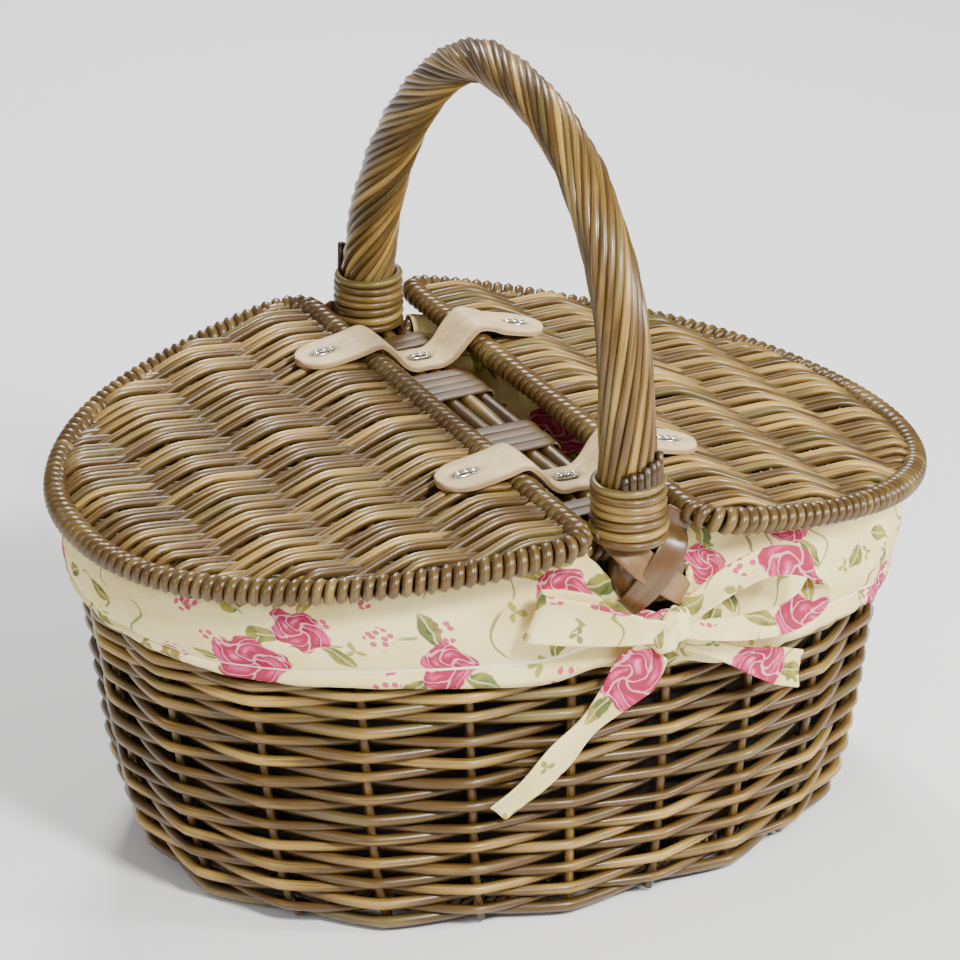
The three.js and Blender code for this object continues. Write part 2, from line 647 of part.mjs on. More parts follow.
// Outline of a right-hand lid seen from above, moved in by inset all round: a D with eased corners.
function lidOutline(inset, reach) {
  const straight = LID_INNER_X + inset;
  const corner = Math.max(LID_CORNER_RADIUS - inset, 4);
  const turnX = straight + corner;
  const turnY = lidHalfWidth(turnX, inset, reach);
  const endAngle = Math.acos((turnX / (reach - inset)) ** (OVAL_POWER / 2));
  const arcSteps = 24;
  const outline = new THREE.Shape();
  outline.moveTo(straight, corner - turnY);
  outline.quadraticCurveTo(straight, -turnY, turnX, -turnY);
  for (let step = 1; step < arcSteps; step++) {
    const angle = THREE.MathUtils.lerp(-endAngle, endAngle, step / arcSteps);
    const x = (reach - inset) * signedPower(Math.cos(angle), 2 / OVAL_POWER);
    const y = (LID_WIDTH / 2 - inset) * signedPower(Math.sin(angle), 2 / OVAL_POWER);
    outline.lineTo(x, y);
  }
  outline.lineTo(turnX, turnY);
  outline.quadraticCurveTo(straight, turnY, straight, turnY - corner);
  outline.closePath();
  return outline;
}

// A round rope laid along a closed plan outline, counter-clockwise seen from above, mitred at each turn.
function ropeRing(outline, radius) {
  const points = outline.getPoints(CURVE_STEPS);
  if (points.at(-1).distanceTo(points[0]) < CLEARANCE) points.pop();
  const count = points.length;
  const geometry = new THREE.TorusGeometry(1, 0.5, TUBE_SIDES, count);
  const section = roundSection(radius, TUBE_SIDES);
  const position = geometry.attributes.position;
  for (let step = 0; step <= count; step++) {
    const here = points[step % count];
    const ahead = points[(step + 1) % count].clone().sub(here).normalize();
    const behind = here.clone().sub(points[(step - 1 + count) % count]).normalize();
    const tangent = ahead.clone().add(behind).normalize();
    const mitre = 1 / tangent.dot(ahead);
    section.forEach(({ out, up }, side) => {
      const index = side * (count + 1) + step;
      const x = here.x + tangent.y * out * mitre;
      const y = here.y - tangent.x * out * mitre;
      position.setXYZ(index, x, y, up);
    });
  }
  geometry.computeVertexNormals();
  return geometry;
}

function stickRod(x, reach, radius) {
  return new THREE.CylinderGeometry(radius, radius, 2 * reach, TUBE_SIDES).translate(x, 0, 0);
}

// One lid, drawn as a right-hand lid lying flat, then sloped about its straight edge and turned to its
// own side.
function buildLid(name, slope, turn) {
  const side = new THREE.Group();
  side.rotation.z = turn;
  basket.add(side);
  const lid = new THREE.Group();
  lid.position.set(LID_INNER_X, 0, LID_HEIGHT);
  lid.rotation.y = slope;
  side.add(lid);
  const weaveInset = 2 * (LID_BORDER_RADIUS + CLEARANCE);
  const half = LID_WEAVE_THICKNESS / 2;
  const tip = lidReach(slope);
  let weave = toSolid(plate(lidOutline(weaveInset, tip), -half, half));
  const rope = ropeRing(lidOutline(LID_BORDER_RADIUS, tip), LID_BORDER_RADIUS);
  const pieces = [["border", rope]];
  for (let index = 0; index < STICK_COUNT; index++) {
    const x = LID_INNER_X + STICK_FIRST + index * STICK_PITCH;
    const bore = stickRod(x, LID_WIDTH / 2, STICK_RADIUS + CLEARANCE);
    weave = weave.subtract(toSolid(bore));
    const reach = lidHalfWidth(x + STICK_RADIUS, weaveInset, tip) - 2 * CLEARANCE;
    pieces.push(["stick_" + (index + 1), stickRod(x, reach, STICK_RADIUS)]);
  }
  pieces.push(["weave", toGeometry(weave)]);
  for (const [part, geometry] of pieces) {
    addPiece(lid, name + "_" + part, geometry, willow()).position.x = -LID_INNER_X;
  }
}

// ---- Straps -------------------------------------------------------------------------------------

// Underside of a strap at a distance x along it: flat on the crossbar, over the lid's border, then down
// on the lid's weave.
function strapUndersides(side) {
  const slope = side < 0 ? LEFT_SLOPE : RIGHT_SLOPE;
  const borderX = LID_INNER_X + LID_BORDER_RADIUS;
  const humpTop = LID_HEIGHT + LID_BORDER_RADIUS + CLEARANCE;
  const onCrossbar = CROSSBAR_TOP + CLEARANCE;
  const onWeave = (x) =>
    LID_HEIGHT + LID_WEAVE_THICKNESS / 2 + 2 * CLEARANCE - Math.tan(slope) * (x - LID_INNER_X);
  const end = STRAP_LENGTH / 2;
  const landing = borderX + STRAP_BORDER_RUN;
  const middle = (landing + end) / 2;
  return [
    [0, onCrossbar],
    [HINGE_X - STRAP_BEND_START, onCrossbar + CLEARANCE / 2],
    [HINGE_X - STRAP_BEND_START / 2, onCrossbar + STRAP_BEND_RISE],
    [HINGE_X, THREE.MathUtils.lerp(onCrossbar, humpTop, STRAP_BEND_SHARE)],
    [borderX - LID_BORDER_RADIUS / 2, humpTop - 1.5 * CLEARANCE],
    [borderX, humpTop],
    [(borderX + landing) / 2, humpTop - 2 * CLEARANCE],
    [landing, onWeave(landing) + 2 * CLEARANCE],
    [middle, onWeave(middle)],
    [end, onWeave(end)],
  ].map(([x, z]) => new THREE.Vector2(side * x, z));
}

function strapBand() {
  const left = strapUndersides(-1).toReversed().slice(0, -1);
  const under = new THREE.SplineCurve([...left, ...strapUndersides(1)]);
  const steps = 34;
  const low = under.getSpacedPoints(steps);
  const high = low.map((point, index) => {
    const tangent = under.getTangentAt(index / steps);
    return new THREE.Vector2(-tangent.y, tangent.x).multiplyScalar(STRAP_THICKNESS).add(point);
  });
  return new THREE.Shape([...low, ...high.toReversed()]);
}

// Plan of a strap: round ends, full width over the lids and a waist over the crossbar.
function strapPlan() {
  const half = STRAP_WIDTH / 2;
  const end = STRAP_LENGTH / 2 - half;
  const waist = STRAP_WAIST / 2;
  const plan = new THREE.Shape();
  plan.moveTo(-end, -half);
  plan.bezierCurveTo(-end / 2, -half, -end / 3, -waist, 0, -waist);
  plan.bezierCurveTo(end / 3, -waist, end / 2, -half, end, -half);
  plan.absarc(end, 0, half, -Math.PI / 2, Math.PI / 2, false);
  plan.bezierCurveTo(end / 2, half, end / 3, waist, 0, waist);
  plan.bezierCurveTo(-end / 3, waist, -end / 2, half, -end, half);
  plan.absarc(-end, 0, half, Math.PI / 2, (3 * Math.PI) / 2, false);
  return plan;
}

// Top of the strap at x, for the studs that sit on it.
function strapTop(side, x) {
  const curve = new THREE.SplineCurve(strapUndersides(side));
  const points = curve.getSpacedPoints(200);
  const nearest = points.reduce((best, point) =>
    Math.abs(Math.abs(point.x) - x) < Math.abs(Math.abs(best.x) - x) ? point : best,
  );
  return nearest.y + STRAP_THICKNESS;
}

function buildStrap(name, y) {
  const reach = STRAP_LENGTH;
  const tall = 2 * LID_HEIGHT;
  const blank = toSolid(wallPlate(strapBand(), -STRAP_WIDTH, STRAP_WIDTH)).intersect(
    toSolid(plate(strapPlan(), 0, tall)),
  );
  const split = HINGE_X - CLEARANCE / 2;
  const parts = [
    ["left_end", -reach, -split - CLEARANCE],
    ["middle", -split, split],
    ["right_end", split + CLEARANCE, reach],
  ];
  for (const [part, low, high] of parts) {
    const window = toSolid(boxBetween([low, -reach, 0], [high, reach, tall]));
    const piece = toGeometry(blank.intersect(window));
    addPiece(basket, name + "_strap_" + part, piece, leather()).position.y = y;
  }
  for (const [part, side, x] of [["left", -1, STUD_X], ["middle", 1, 0], ["right", 1, STUD_X]]) {
    const length = STUD_LENGTH - 2 * STUD_RADIUS;
    const stud = new THREE.CapsuleGeometry(STUD_RADIUS, length, 3, TUBE_SIDES).rotateZ(Math.PI / 2);
    const slope = x === 0 ? 0 : side < 0 ? -LEFT_SLOPE : RIGHT_SLOPE;
    const piece = addPiece(basket, name + "_stud_" + part, stud.rotateY(slope), steel());
    piece.position.set(side * x, y, strapTop(side, x) + STUD_RADIUS + CLEARANCE);
  }
}

// ---- The basket ---------------------------------------------------------------------------------

buildBase();
buildSideWeave();
buildBag();
buildSkirt();
buildCrossbar();
buildHandle();
buildPostBinding(-1);
buildPostBinding(1);
buildLid("lid_left", LEFT_SLOPE, Math.PI);
buildLid("lid_right", RIGHT_SLOPE, 0);
buildStrap("near", -STRAP_Y);
buildStrap("far", STRAP_Y);
buildBow("near");
buildBow("far");

export default basket;
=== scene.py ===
"""Looks of an oval willow picnic basket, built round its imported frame.

Every piece stands where the frame has it. Metres, +Z up; the handle hoop stands in the YZ plane, with
its near post at -Y, and the two lids open away from it along -X and +X.
"""

import logging
import math
from dataclasses import dataclass, field
from enum import Enum

import bpy
import numpy as np
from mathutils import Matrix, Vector


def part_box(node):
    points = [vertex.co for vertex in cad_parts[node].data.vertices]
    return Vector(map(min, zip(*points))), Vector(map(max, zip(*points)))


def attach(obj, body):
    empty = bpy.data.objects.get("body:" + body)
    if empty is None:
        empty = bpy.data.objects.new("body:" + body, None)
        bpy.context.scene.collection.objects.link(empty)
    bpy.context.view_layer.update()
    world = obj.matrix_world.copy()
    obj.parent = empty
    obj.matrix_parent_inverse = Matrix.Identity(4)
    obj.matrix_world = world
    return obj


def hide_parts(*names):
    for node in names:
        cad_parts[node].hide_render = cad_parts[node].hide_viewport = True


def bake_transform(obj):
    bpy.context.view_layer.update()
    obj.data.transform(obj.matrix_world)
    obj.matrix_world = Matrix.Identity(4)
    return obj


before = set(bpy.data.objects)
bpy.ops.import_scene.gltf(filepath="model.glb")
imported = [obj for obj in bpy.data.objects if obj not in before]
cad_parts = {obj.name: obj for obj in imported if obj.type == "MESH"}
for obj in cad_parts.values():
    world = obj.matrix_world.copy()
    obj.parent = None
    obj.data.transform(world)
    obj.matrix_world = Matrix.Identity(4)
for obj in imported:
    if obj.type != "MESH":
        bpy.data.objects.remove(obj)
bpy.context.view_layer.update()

LOG = logging.getLogger("basket")
MM = 0.001
TURN = 2 * math.pi
Path = np.ndarray


# ---- Small tools --------------------------------------------------------------------------------


def unit(vectors: Path) -> Path:
    """Scale each row of an array of vectors to length one."""
    length = np.linalg.norm(vectors, axis=-1, keepdims=True)
    return vectors / np.maximum(length, 1e-12)


def signed_power(value: Path, power: float) -> Path:
    """Raise the size of a value to a power and keep its sign."""
    return np.sign(value) * np.abs(value) ** power


def zigzag(phase: Path, sharp: float = 0.93) -> Path:
    """Swing between 1 and -1 in nearly straight runs, with a quick bend at each end.

    Args:
        phase: Angle of the swing, 1 at zero and -1 at pi.
        sharp: How tight the bends are, up to 1.

    Returns:
        The swing at each phase.
    """
    return np.arcsin(sharp * np.cos(phase)) / math.asin(sharp)


def arc_length(path: Path) -> Path:
    """Distance along a path at each of its points."""
    steps = np.linalg.norm(np.diff(path, axis=0), axis=1)
    return np.concatenate([[0.0], np.cumsum(steps)])


def resample(path: Path, count: int) -> Path:
    """Spread a number of points evenly along a path.

    Args:
        path: Points of the path.
        count: Number of points wanted.

    Returns:
        The new points, ends included.
    """
    length = arc_length(path)
    wanted = np.linspace(0, length[-1], count)
    return np.stack([np.interp(wanted, length, path[:, k]) for k in range(3)], axis=1)


def smooth_curve(points: list, count: int) -> Path:
    """Run a smooth curve through a few points.

    Args:
        points: Points that the curve passes through.
        count: Number of points on the result.

    Returns:
        Evenly spread points along the curve.
    """
    p = np.array(points, float)
    p = np.vstack([2 * p[0] - p[1], p, 2 * p[-1] - p[-2]])
    found = []
    for i in range(1, len(p) - 2):
        t = np.linspace(0, 1, 24, endpoint=False)[:, None]
        a, b, c, d = p[i - 1], p[i], p[i + 1], p[i + 2]
        found.append(
            0.5 * (2 * b + (c - a) * t + (2 * a - 5 * b + 4 * c - d) * t**2 + (3 * b - a - 3 * c + d) * t**3)
        )
    found.append(p[-2:-1])
    return resample(np.vstack(found), count)


def deselect() -> None:
    """Leave nothing selected, in object mode."""
    if bpy.context.object and bpy.context.object.mode != "OBJECT":
        bpy.ops.object.mode_set(mode="OBJECT")
    bpy.ops.object.select_all(action="DESELECT")


def activate(piece: bpy.types.Object) -> None:
    """Select one piece alone and make it the active one."""
    deselect()
    piece.select_set(True)
    bpy.context.view_layer.objects.active = piece


def settle(piece: bpy.types.Object) -> bpy.types.Object:
    """Move a piece's place into its mesh, so that its object stands at the origin."""
    activate(piece)
    bpy.ops.object.transform_apply(location=True, rotation=True, scale=True)
    return piece


def smooth(piece: bpy.types.Object, degrees: float = 40) -> bpy.types.Object:
    """Shade a piece smooth, apart from edges sharper than an angle."""
    activate(piece)
    bpy.ops.object.shade_smooth_by_angle(angle=math.radians(degrees))
    return piece


def apply_modifier(piece: bpy.types.Object, kind: str, **settings: object) -> None:
    """Add a modifier to a piece, set it up and apply it."""
    activate(piece)
    modifier = piece.modifiers.new(kind.title(), kind)
    for key, value in settings.items():
        setattr(modifier, key, value)
    bpy.ops.object.modifier_apply(modifier=modifier.name)


# ---- Shapes shared by the pieces ----------------------------------------------------------------


@dataclass
class BodyShape:
    """The oval that the base, the wall, the rim and the lining follow, as the frame has it."""

    power: float = 2.16
    belly: float = 0.36
    base_half: tuple = (0.150, 0.119)
    top_half: tuple = (0.186, 0.130)
    lid_inner_x: float = 0.0198
    slopes: tuple = (math.radians(8), math.radians(12))
    level_height: float = 0.100
    rim_radius: float = 5.5 * MM
    hem_height: float = 0.112
    hem_tilt: float = -0.075

    def __post_init__(self) -> None:
        """Read the rim's place off the frame."""
        _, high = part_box("rim_border")
        self.rim_height = high.z - self.rim_radius
        self.rigid_height = self.rim_height - 2 * self.rim_radius

    def drop(self, x: Path) -> Path:
        """How far the lids and the rim have fallen at a distance from the handle."""
        slope = np.where(x < 0, math.tan(self.slopes[0]), math.tan(self.slopes[1]))
        return slope * np.maximum(np.abs(x) - self.lid_inner_x, 0)

    def share(self, z: Path) -> Path:
        """Share of the rim's fall that a row at a height takes."""
        return np.clip((z - self.level_height) / (self.rigid_height - self.level_height), 0, 1)

    def half(self, z: Path, axis: int) -> Path:
        """Half the length (axis 0) or width (axis 1) of the wall at a height."""
        swell = np.clip(z / self.rim_height, 0, 1) ** self.belly
        return self.base_half[axis] + (self.top_half[axis] - self.base_half[axis]) * swell

    def point(self, angle: Path, out: Path, z: Path, at: Path = None, scale: Path = 1.0) -> Path:
        """Place points round the body.

        Args:
            angle: Angle of each point.
            out: Distance outside the wall's outer face.
            z: Row height, before the rim's fall is taken off.
            at: Height at which the outline is taken, if not z.
            scale: Share of the outline, for floors.

        Returns:
            The points, in metres.
        """
        angle, out, z = np.broadcast_arrays(angle, out, z)
        at = z if at is None else at
        x = (self.half(at, 0) + out) * signed_power(np.cos(angle), 2 / self.power) * scale
        y = (self.half(at, 1) + out) * signed_power(np.sin(angle), 2 / self.power) * scale
        return np.stack([x, y, z - self.drop(x) * self.share(z)], axis=-1)

    def angles(self, share: Path) -> Path:
        """Turn shares of the way round into angles that are evenly spread along the wall."""
        fine = np.linspace(0, TURN, 1441)
        length = arc_length(self.point(fine, 0.0, self.rim_height * 0.5))
        whole = np.floor(share)
        return np.interp((share - whole) * length[-1], length, fine) + whole * TURN

    def row_at(self, z: Path, x: Path) -> Path:
        """Row height that lands at a height above the ground."""
        fall = self.drop(x) / (self.rigid_height - self.level_height)
        return np.where(z < self.level_height, z, (z - fall * self.level_height) / (1 - fall))


@dataclass
class LidShape:
    """One lid, drawn flat as a right-hand lid and then laid where the frame has it."""

    right: bool
    body: BodyShape
    border_radius: float = 5.75 * MM
    corner: float = 20 * MM
    length: float = 0.195
    half_width: float = 0.153
    height: float = 0.1845

    def __post_init__(self) -> None:
        """Work out the slope and the reach of this side's lid."""
        self.slope = self.body.slopes[1 if self.right else 0]
        inner = self.body.lid_inner_x
        self.reach = inner + (self.length - inner) / math.cos(self.slope)

    def width_at(self, x: Path, inset: float) -> Path:
        """Half the lid's width at a distance from the middle of the basket."""
        share = np.clip(x / (self.reach - inset), 0, 1) ** self.body.power
        return (self.half_width - inset) * (1 - share) ** (1 / self.body.power)

    def outline(self, inset: float, count: int) -> Path:
        """Points along the lid's D-shaped outline, moved in by an inset, counter-clockwise."""
        straight = self.body.lid_inner_x + inset
        corner = max(self.corner - inset, 4 * MM)
        turn_x = straight + corner
        turn_y = float(self.width_at(np.array(turn_x), inset))
        end = math.acos((turn_x / (self.reach - inset)) ** (self.body.power / 2))
        angle = np.linspace(-end, end, 90)
        arc = np.stack(
            [
                (self.reach - inset) * signed_power(np.cos(angle), 2 / self.body.power),
                (self.half_width - inset) * signed_power(np.sin(angle), 2 / self.body.power),
            ],
            axis=1,
        )
        t = np.linspace(0, 1, 12, endpoint=False)[:, None]
        low = [np.array(v) for v in ([straight, corner - turn_y], [straight, -turn_y], [turn_x, -turn_y])]
        high = [v * np.array([1, -1]) for v in reversed(low)]
        bend = lambda p: (1 - t) ** 2 * p[0] + 2 * t * (1 - t) * p[1] + t**2 * p[2]
        flat = np.vstack([bend(low), arc, bend(high)[1:], high[2][None], low[0][None]])
        path = np.column_stack([flat, np.zeros(len(flat))])
        return resample(path, count + 1)[:-1]

    def place(self, points: Path) -> Path:
        """Lay flat points of a right-hand lid where this lid lies closed."""
        inner = self.body.lid_inner_x
        x, y, z = points[..., 0] - inner, points[..., 1], points[..., 2]
        c, s = math.cos(self.slope), math.sin(self.slope)
        laid = np.stack([inner + c * x + s * z, y, self.height - s * x + c * z], axis=-1)
        return laid if self.right else laid * np.array([-1, -1, 1])


# ---- Meshes of rods and cloth -------------------------------------------------------------------


class RodBundle:
    """Collects round rods and makes one mesh of them.

    Each point carries an attribute "rod": the distance along its rod, the place round it and the rod's
    own number, and an attribute "lift": how far it stands out of the weave, from 0 to 1, from which
    the stain paints highlight and shade.
    """

    def __init__(self, name: str, sides: int = 6, seed: int = 1) -> None:
        """Start an empty bundle.

        Args:
            name: Name of the piece that the bundle becomes.
            sides: Facets round each rod.
            seed: Seed of the rods' small differences.
        """
        self.name = name
        self.sides = sides
        self.rng = np.random.default_rng(seed)
        self.points, self.faces, self.rods, self.lifts = [], [], [], []
        self.count = 0

    def add(
        self,
        path: Path,
        radius: Path,
        normal: Path,
        depth: Path = 0.0,
        reach: float = 6 * MM,
        closed: bool = False,
        both: bool = False,
    ) -> None:
        """Add one rod.

        Args:
            path: Centre line.
            radius: Radius, or one for each point.
            normal: Direction out of the weave, or one for each point.
            depth: Distance of the centre line from the middle of the weave, along normal.
            reach: Distance from the middle of the weave at which lift is 0 or 1.
            closed: Whether the rod runs round into itself.
            both: Whether the weave is seen from both faces; its inner face then gets the painted highlight and shade
                mirrored.
        """
        count = len(path)
        radius = np.broadcast_to(radius, count)[:, None]
        normal = np.broadcast_to(normal, (count, 3))
        if closed:
            tangent = unit(np.roll(path, -1, 0) - np.roll(path, 1, 0))
        else:
            tangent = unit(np.gradient(path, axis=0))
        normal = unit(normal - (normal * tangent).sum(1, keepdims=True) * tangent)
        across = np.cross(tangent, normal)
        angle = np.arange(self.sides) / self.sides * TURN
        cosine, sine = np.cos(angle)[None, :, None], np.sin(angle)[None, :, None]
        ring = path[:, None] + radius[:, None] * (cosine * normal[:, None] + sine * across[:, None])
        depth = np.broadcast_to(depth, count)[:, None] + radius * np.cos(angle)[None]
        if both:
            depth = depth * np.where(np.cos(angle) < -0.1, -1, 1)[None]
        # Painted light and shade: lift sets how light the stain paints each point, high points lighter, low points
        # darker.
        lift = np.clip(0.5 + 0.5 * depth / reach, 0, 1)
        i, j = np.meshgrid(
            np.arange(count if closed else count - 1), np.arange(self.sides), indexing="ij"
        )
        after, beside = (i + 1) % count, (j + 1) % self.sides
        corner = lambda a, b: (self.count + a * self.sides + b).ravel()
        quads = np.stack(
            [corner(i, j), corner(i, beside), corner(after, beside), corner(after, j)], 1
        )
        self.faces.extend(quads.tolist())
        if not closed:
            start = self.count + np.arange(self.sides)
            self.faces.append(start[::-1].tolist())
            self.faces.append((start + (count - 1) * self.sides).tolist())
        along = np.broadcast_to(arc_length(path)[:, None], (count, self.sides))
        own = self.rng.random()
        rod = np.stack(
            [along + own * 3, np.broadcast_to(angle / TURN, along.shape), 0 * along + own], -1
        )
        self.points.append(ring.reshape(-1, 3))
        self.rods.append(rod.reshape(-1, 3))
        self.lifts.append(lift.reshape(-1))
        self.count += count * self.sides

    def build(self) -> bpy.types.Object:
        """Make the mesh and shade it smooth."""
        return make_mesh(
            self.name,
            np.vstack(self.points),
            self.faces,
            {"rod": np.vstack(self.rods), "lift": np.concatenate(self.lifts)},
        )


def make_mesh(name: str, points: Path, faces: list, attributes: dict) -> bpy.types.Object:
    """Make an object of points and faces, in the row frame.

    Args:
        name: Name of the piece.
        points: Vertices, in metres.
        faces: Lists of vertex numbers.
        attributes: Point attributes by name, one number or three for each vertex.

    Returns:
        The new object, shaded smooth.
    """
    mesh = bpy.data.meshes.new(name)
    mesh.from_pydata(points.tolist(), [], faces)
    for key, values in attributes.items():
        kind = "FLOAT_VECTOR" if values.ndim == 2 else "FLOAT"
        layer = mesh.attributes.new(key, kind, "POINT")
        layer.data.foreach_set(
            "vector" if values.ndim == 2 else "value", values.astype(np.float32).ravel()
        )
    mesh.validate()
    piece = bpy.data.objects.new(name, mesh)
    bpy.context.scene.collection.objects.link(piece)
    mesh.shade_smooth()
    return piece


def make_grid(name: str, points: Path, cloth: Path, closed: bool = False) -> bpy.types.Object:
    """Make a sheet from a grid of points.

    Args:
        name: Name of the piece.
        points: Grid of vertices: rows, columns, 3.
        cloth: Place of each vertex on the flat cloth: rows, columns, 2.
        closed: Whether the last column meets the first.

    Returns:
        The sheet, with its place on the cloth in the attribute "cloth".
    """
    rows, columns = points.shape[:2]
    i, j = np.meshgrid(np.arange(rows - 1), np.arange(columns - 1), indexing="ij")
    corner = lambda a, b: (a * columns + b).ravel()
    quads = np.stack([corner(i, j), corner(i, j + 1), corner(i + 1, j + 1), corner(i + 1, j)], 1)
    flat = np.concatenate([cloth, np.zeros(cloth.shape[:2] + (1,))], -1).reshape(-1, 3)
    piece = make_mesh(name, points.reshape(-1, 3), quads.tolist(), {"cloth": flat})
    if closed:
        activate(piece)
        bpy.ops.object.mode_set(mode="EDIT")
        bpy.ops.mesh.select_all(action="SELECT")
        bpy.ops.mesh.remove_doubles(threshold=1e-5)
        bpy.ops.object.mode_set(mode="OBJECT")
    return piece


# ---- Shader tools -------------------------------------------------------------------------------


class NodeTree:
    """Short ways to add and join nodes in one tree."""

    def __init__(self, tree: bpy.types.NodeTree) -> None:
        """Work in a tree."""
        self.tree = tree

    def add(self, kind: str, inputs: dict = None, **settings: object) -> bpy.types.Node:
        """Add a node, set its properties and fill or join its inputs by name or number."""
        node = self.tree.nodes.new(kind)
        for key, value in settings.items():
            setattr(node, key, value)
        for key, value in (inputs or {}).items():
            self.put(node.inputs[key], value)
        return node

    def put(self, socket: bpy.types.NodeSocket, value: object) -> None:
        """Join an output to a socket, or set the socket's own value."""
        if isinstance(value, bpy.types.NodeSocket):
            self.tree.links.new(value, socket)
        elif isinstance(value, bpy.types.Node):
            self.tree.links.new(value.outputs[0], socket)
        else:
            socket.default_value = value

    def math(
        self, operation: str, a: object, b: object = 0.0, clamp: bool = False
    ) -> bpy.types.NodeSocket:
        """Add a Math node and give its output."""
        node = self.add("ShaderNodeMath", {0: a, 1: b}, operation=operation, use_clamp=clamp)
        return node.outputs[0]

    def vector(self, operation: str, a: object, b: object = None) -> bpy.types.NodeSocket:
        """Add a Vector Math node and give its output."""
        inputs = {0: a} if b is None else {0: a, 1: b}
        node = self.add("ShaderNodeVectorMath", inputs, operation=operation)
        return node.outputs["Value" if operation in ("LENGTH", "DOT_PRODUCT") else "Vector"]

    def ramp(self, value: object, low: float, high: float) -> bpy.types.NodeSocket:
        """Give 0 below one value and 1 above another, with a smooth step between."""
        inputs = {"Value": value, "From Min": low, "From Max": high}
        return self.add("ShaderNodeMapRange", inputs, interpolation_type="SMOOTHSTEP").outputs[0]

    def mix(self, share: object, a: object, b: object, blend: str = "MIX") -> bpy.types.NodeSocket:
        """Mix two colours by a share."""
        node = self.add("ShaderNodeMix", data_type="RGBA", blend_type=blend)
        for key, value in ((0, share), (6, a), (7, b)):
            self.put(node.inputs[key], value)
        return node.outputs[2]

    def noise(
        self, place: object, scale: float, detail: float = 2.0, name: str = "Fac"
    ) -> bpy.types.NodeSocket:
        """Add a noise texture and give one of its outputs."""
        return self.add(
            "ShaderNodeTexNoise", {"Vector": place, "Scale": scale, "Detail": detail}
        ).outputs[name]

    def attribute(self, name: str, output: str = "Vector") -> bpy.types.NodeSocket:
        """Read an attribute of the piece."""
        return self.add("ShaderNodeAttribute", attribute_name=name).outputs[output]

    def parts(self, vector: object) -> tuple:
        """Split a vector into its three numbers."""
        node = self.add("ShaderNodeSeparateXYZ", {0: vector})
        return tuple(node.outputs)


def node_group(name: str, inputs: dict, outputs: dict) -> tuple:
    """Start a shader node group.

    Args:
        name: Name of the group.
        inputs: Socket kind by input name.
        outputs: Socket kind by output name.

    Returns:
        The group, tools for its tree, its input node and its output node.
    """
    group = bpy.data.node_groups.new(name, "ShaderNodeTree")
    for key, kind in inputs.items():
        group.interface.new_socket(key, in_out="INPUT", socket_type=kind)
    for key, kind in outputs.items():
        group.interface.new_socket(key, in_out="OUTPUT", socket_type=kind)
    tools = NodeTree(group)
    return group, tools, tools.add("NodeGroupInput"), tools.add("NodeGroupOutput")


def new_material(slot: str) -> tuple:
    """Start a material for one of the frame's slots.

    Args:
        slot: The frame's name for the slot, or a name of its own for the floor.

    Returns:
        The material, tools for its tree and its Principled BSDF.
    """
    material = bpy.data.materials.new("finish " + slot)
    material["slot"] = slot
    material.use_nodes = True
    return material, NodeTree(material.node_tree), material.node_tree.nodes["Principled BSDF"]


COLOR, FLOAT, VECTOR = "NodeSocketColor", "NodeSocketFloat", "NodeSocketVector"


def stain_and_shade_group() -> bpy.types.NodeTree:
    """Stain on a peeled rod: streaks along it, one tone for each rod, painted highlight where it stands out of the
    weave and painted shade where it lies low.
    """
    group, n, given, out = node_group(
        "rod_stain_and_shade",
        {
            "Rod": VECTOR,
            "Lift": FLOAT,
            "Dark": COLOR,
            "Middle": COLOR,
            "Light": COLOR,
            "Grey": COLOR,
        },
        {"Color": COLOR, "Roughness": FLOAT, "Height": FLOAT},
    )
    along, around, own = n.parts(given.outputs["Rod"])
    streak_place = n.add(
        "ShaderNodeCombineXYZ",
        {
            0: n.math("MULTIPLY", along, 18.0),
            1: n.math("MULTIPLY", around, 2.5),
            2: n.math("MULTIPLY", own, 91.0),
        },
    ).outputs[0]
    streak = n.noise(streak_place, 1.6, 4.0)
    patch_place = n.add(
        "ShaderNodeCombineXYZ", {
            0: n.math("MULTIPLY", along, 22.0), 2: n.math("MULTIPLY", own, 47.0)
        }
    ).outputs[0]
    patch = n.noise(patch_place, 1.0, 2.0)
    tone = n.math("FRACT", n.math("MULTIPLY", own, 7.31))
    level = n.math("ADD", n.math("MULTIPLY", streak, 0.9), n.math("MULTIPLY", tone, 0.45))
    # Painted light and shade: the further the rod stands out of the weave, the lighter it is painted.
    level = n.math("ADD", level, n.math("MULTIPLY", given.outputs["Lift"], 0.75))
    level = n.math("ADD", level, n.math("MULTIPLY", n.math("SUBTRACT", patch, 0.5), 0.9))
    dark = n.mix(n.ramp(level, 0.35, 1.05), given.outputs["Dark"], given.outputs["Middle"])
    lit = n.mix(n.ramp(level, 1.08, 1.82), dark, given.outputs["Light"])
    grey_share = n.math(
        "MULTIPLY", n.ramp(n.math("FRACT", n.math("MULTIPLY", own, 13.7)), 0.55, 0.9), 0.55
    )
    grey = n.mix(
        n.math("MULTIPLY", grey_share, n.ramp(patch, 0.4, 0.6)), lit, given.outputs["Grey"]
    )
    # Painted shade: where the rod lies low in the weave it is painted most of the way to the dark colour.
    recess_shade = n.ramp(given.outputs["Lift"], 0.08, 0.52)
    n.put(out.inputs["Color"], n.mix(recess_shade, n.mix(0.75, grey, given.outputs["Dark"]), grey))
    n.put(out.inputs["Roughness"], n.math("ADD", 0.22, n.math("MULTIPLY", streak, 0.25)))
    fine_place = n.add(
        "ShaderNodeCombineXYZ", {
            0: n.math("MULTIPLY", along, 60.0), 1: n.math("MULTIPLY", around, 9.0), 2: own
        }
    ).outputs[0]
    n.put(out.inputs["Height"], n.noise(fine_place, 2.0, 3.0))
    return group


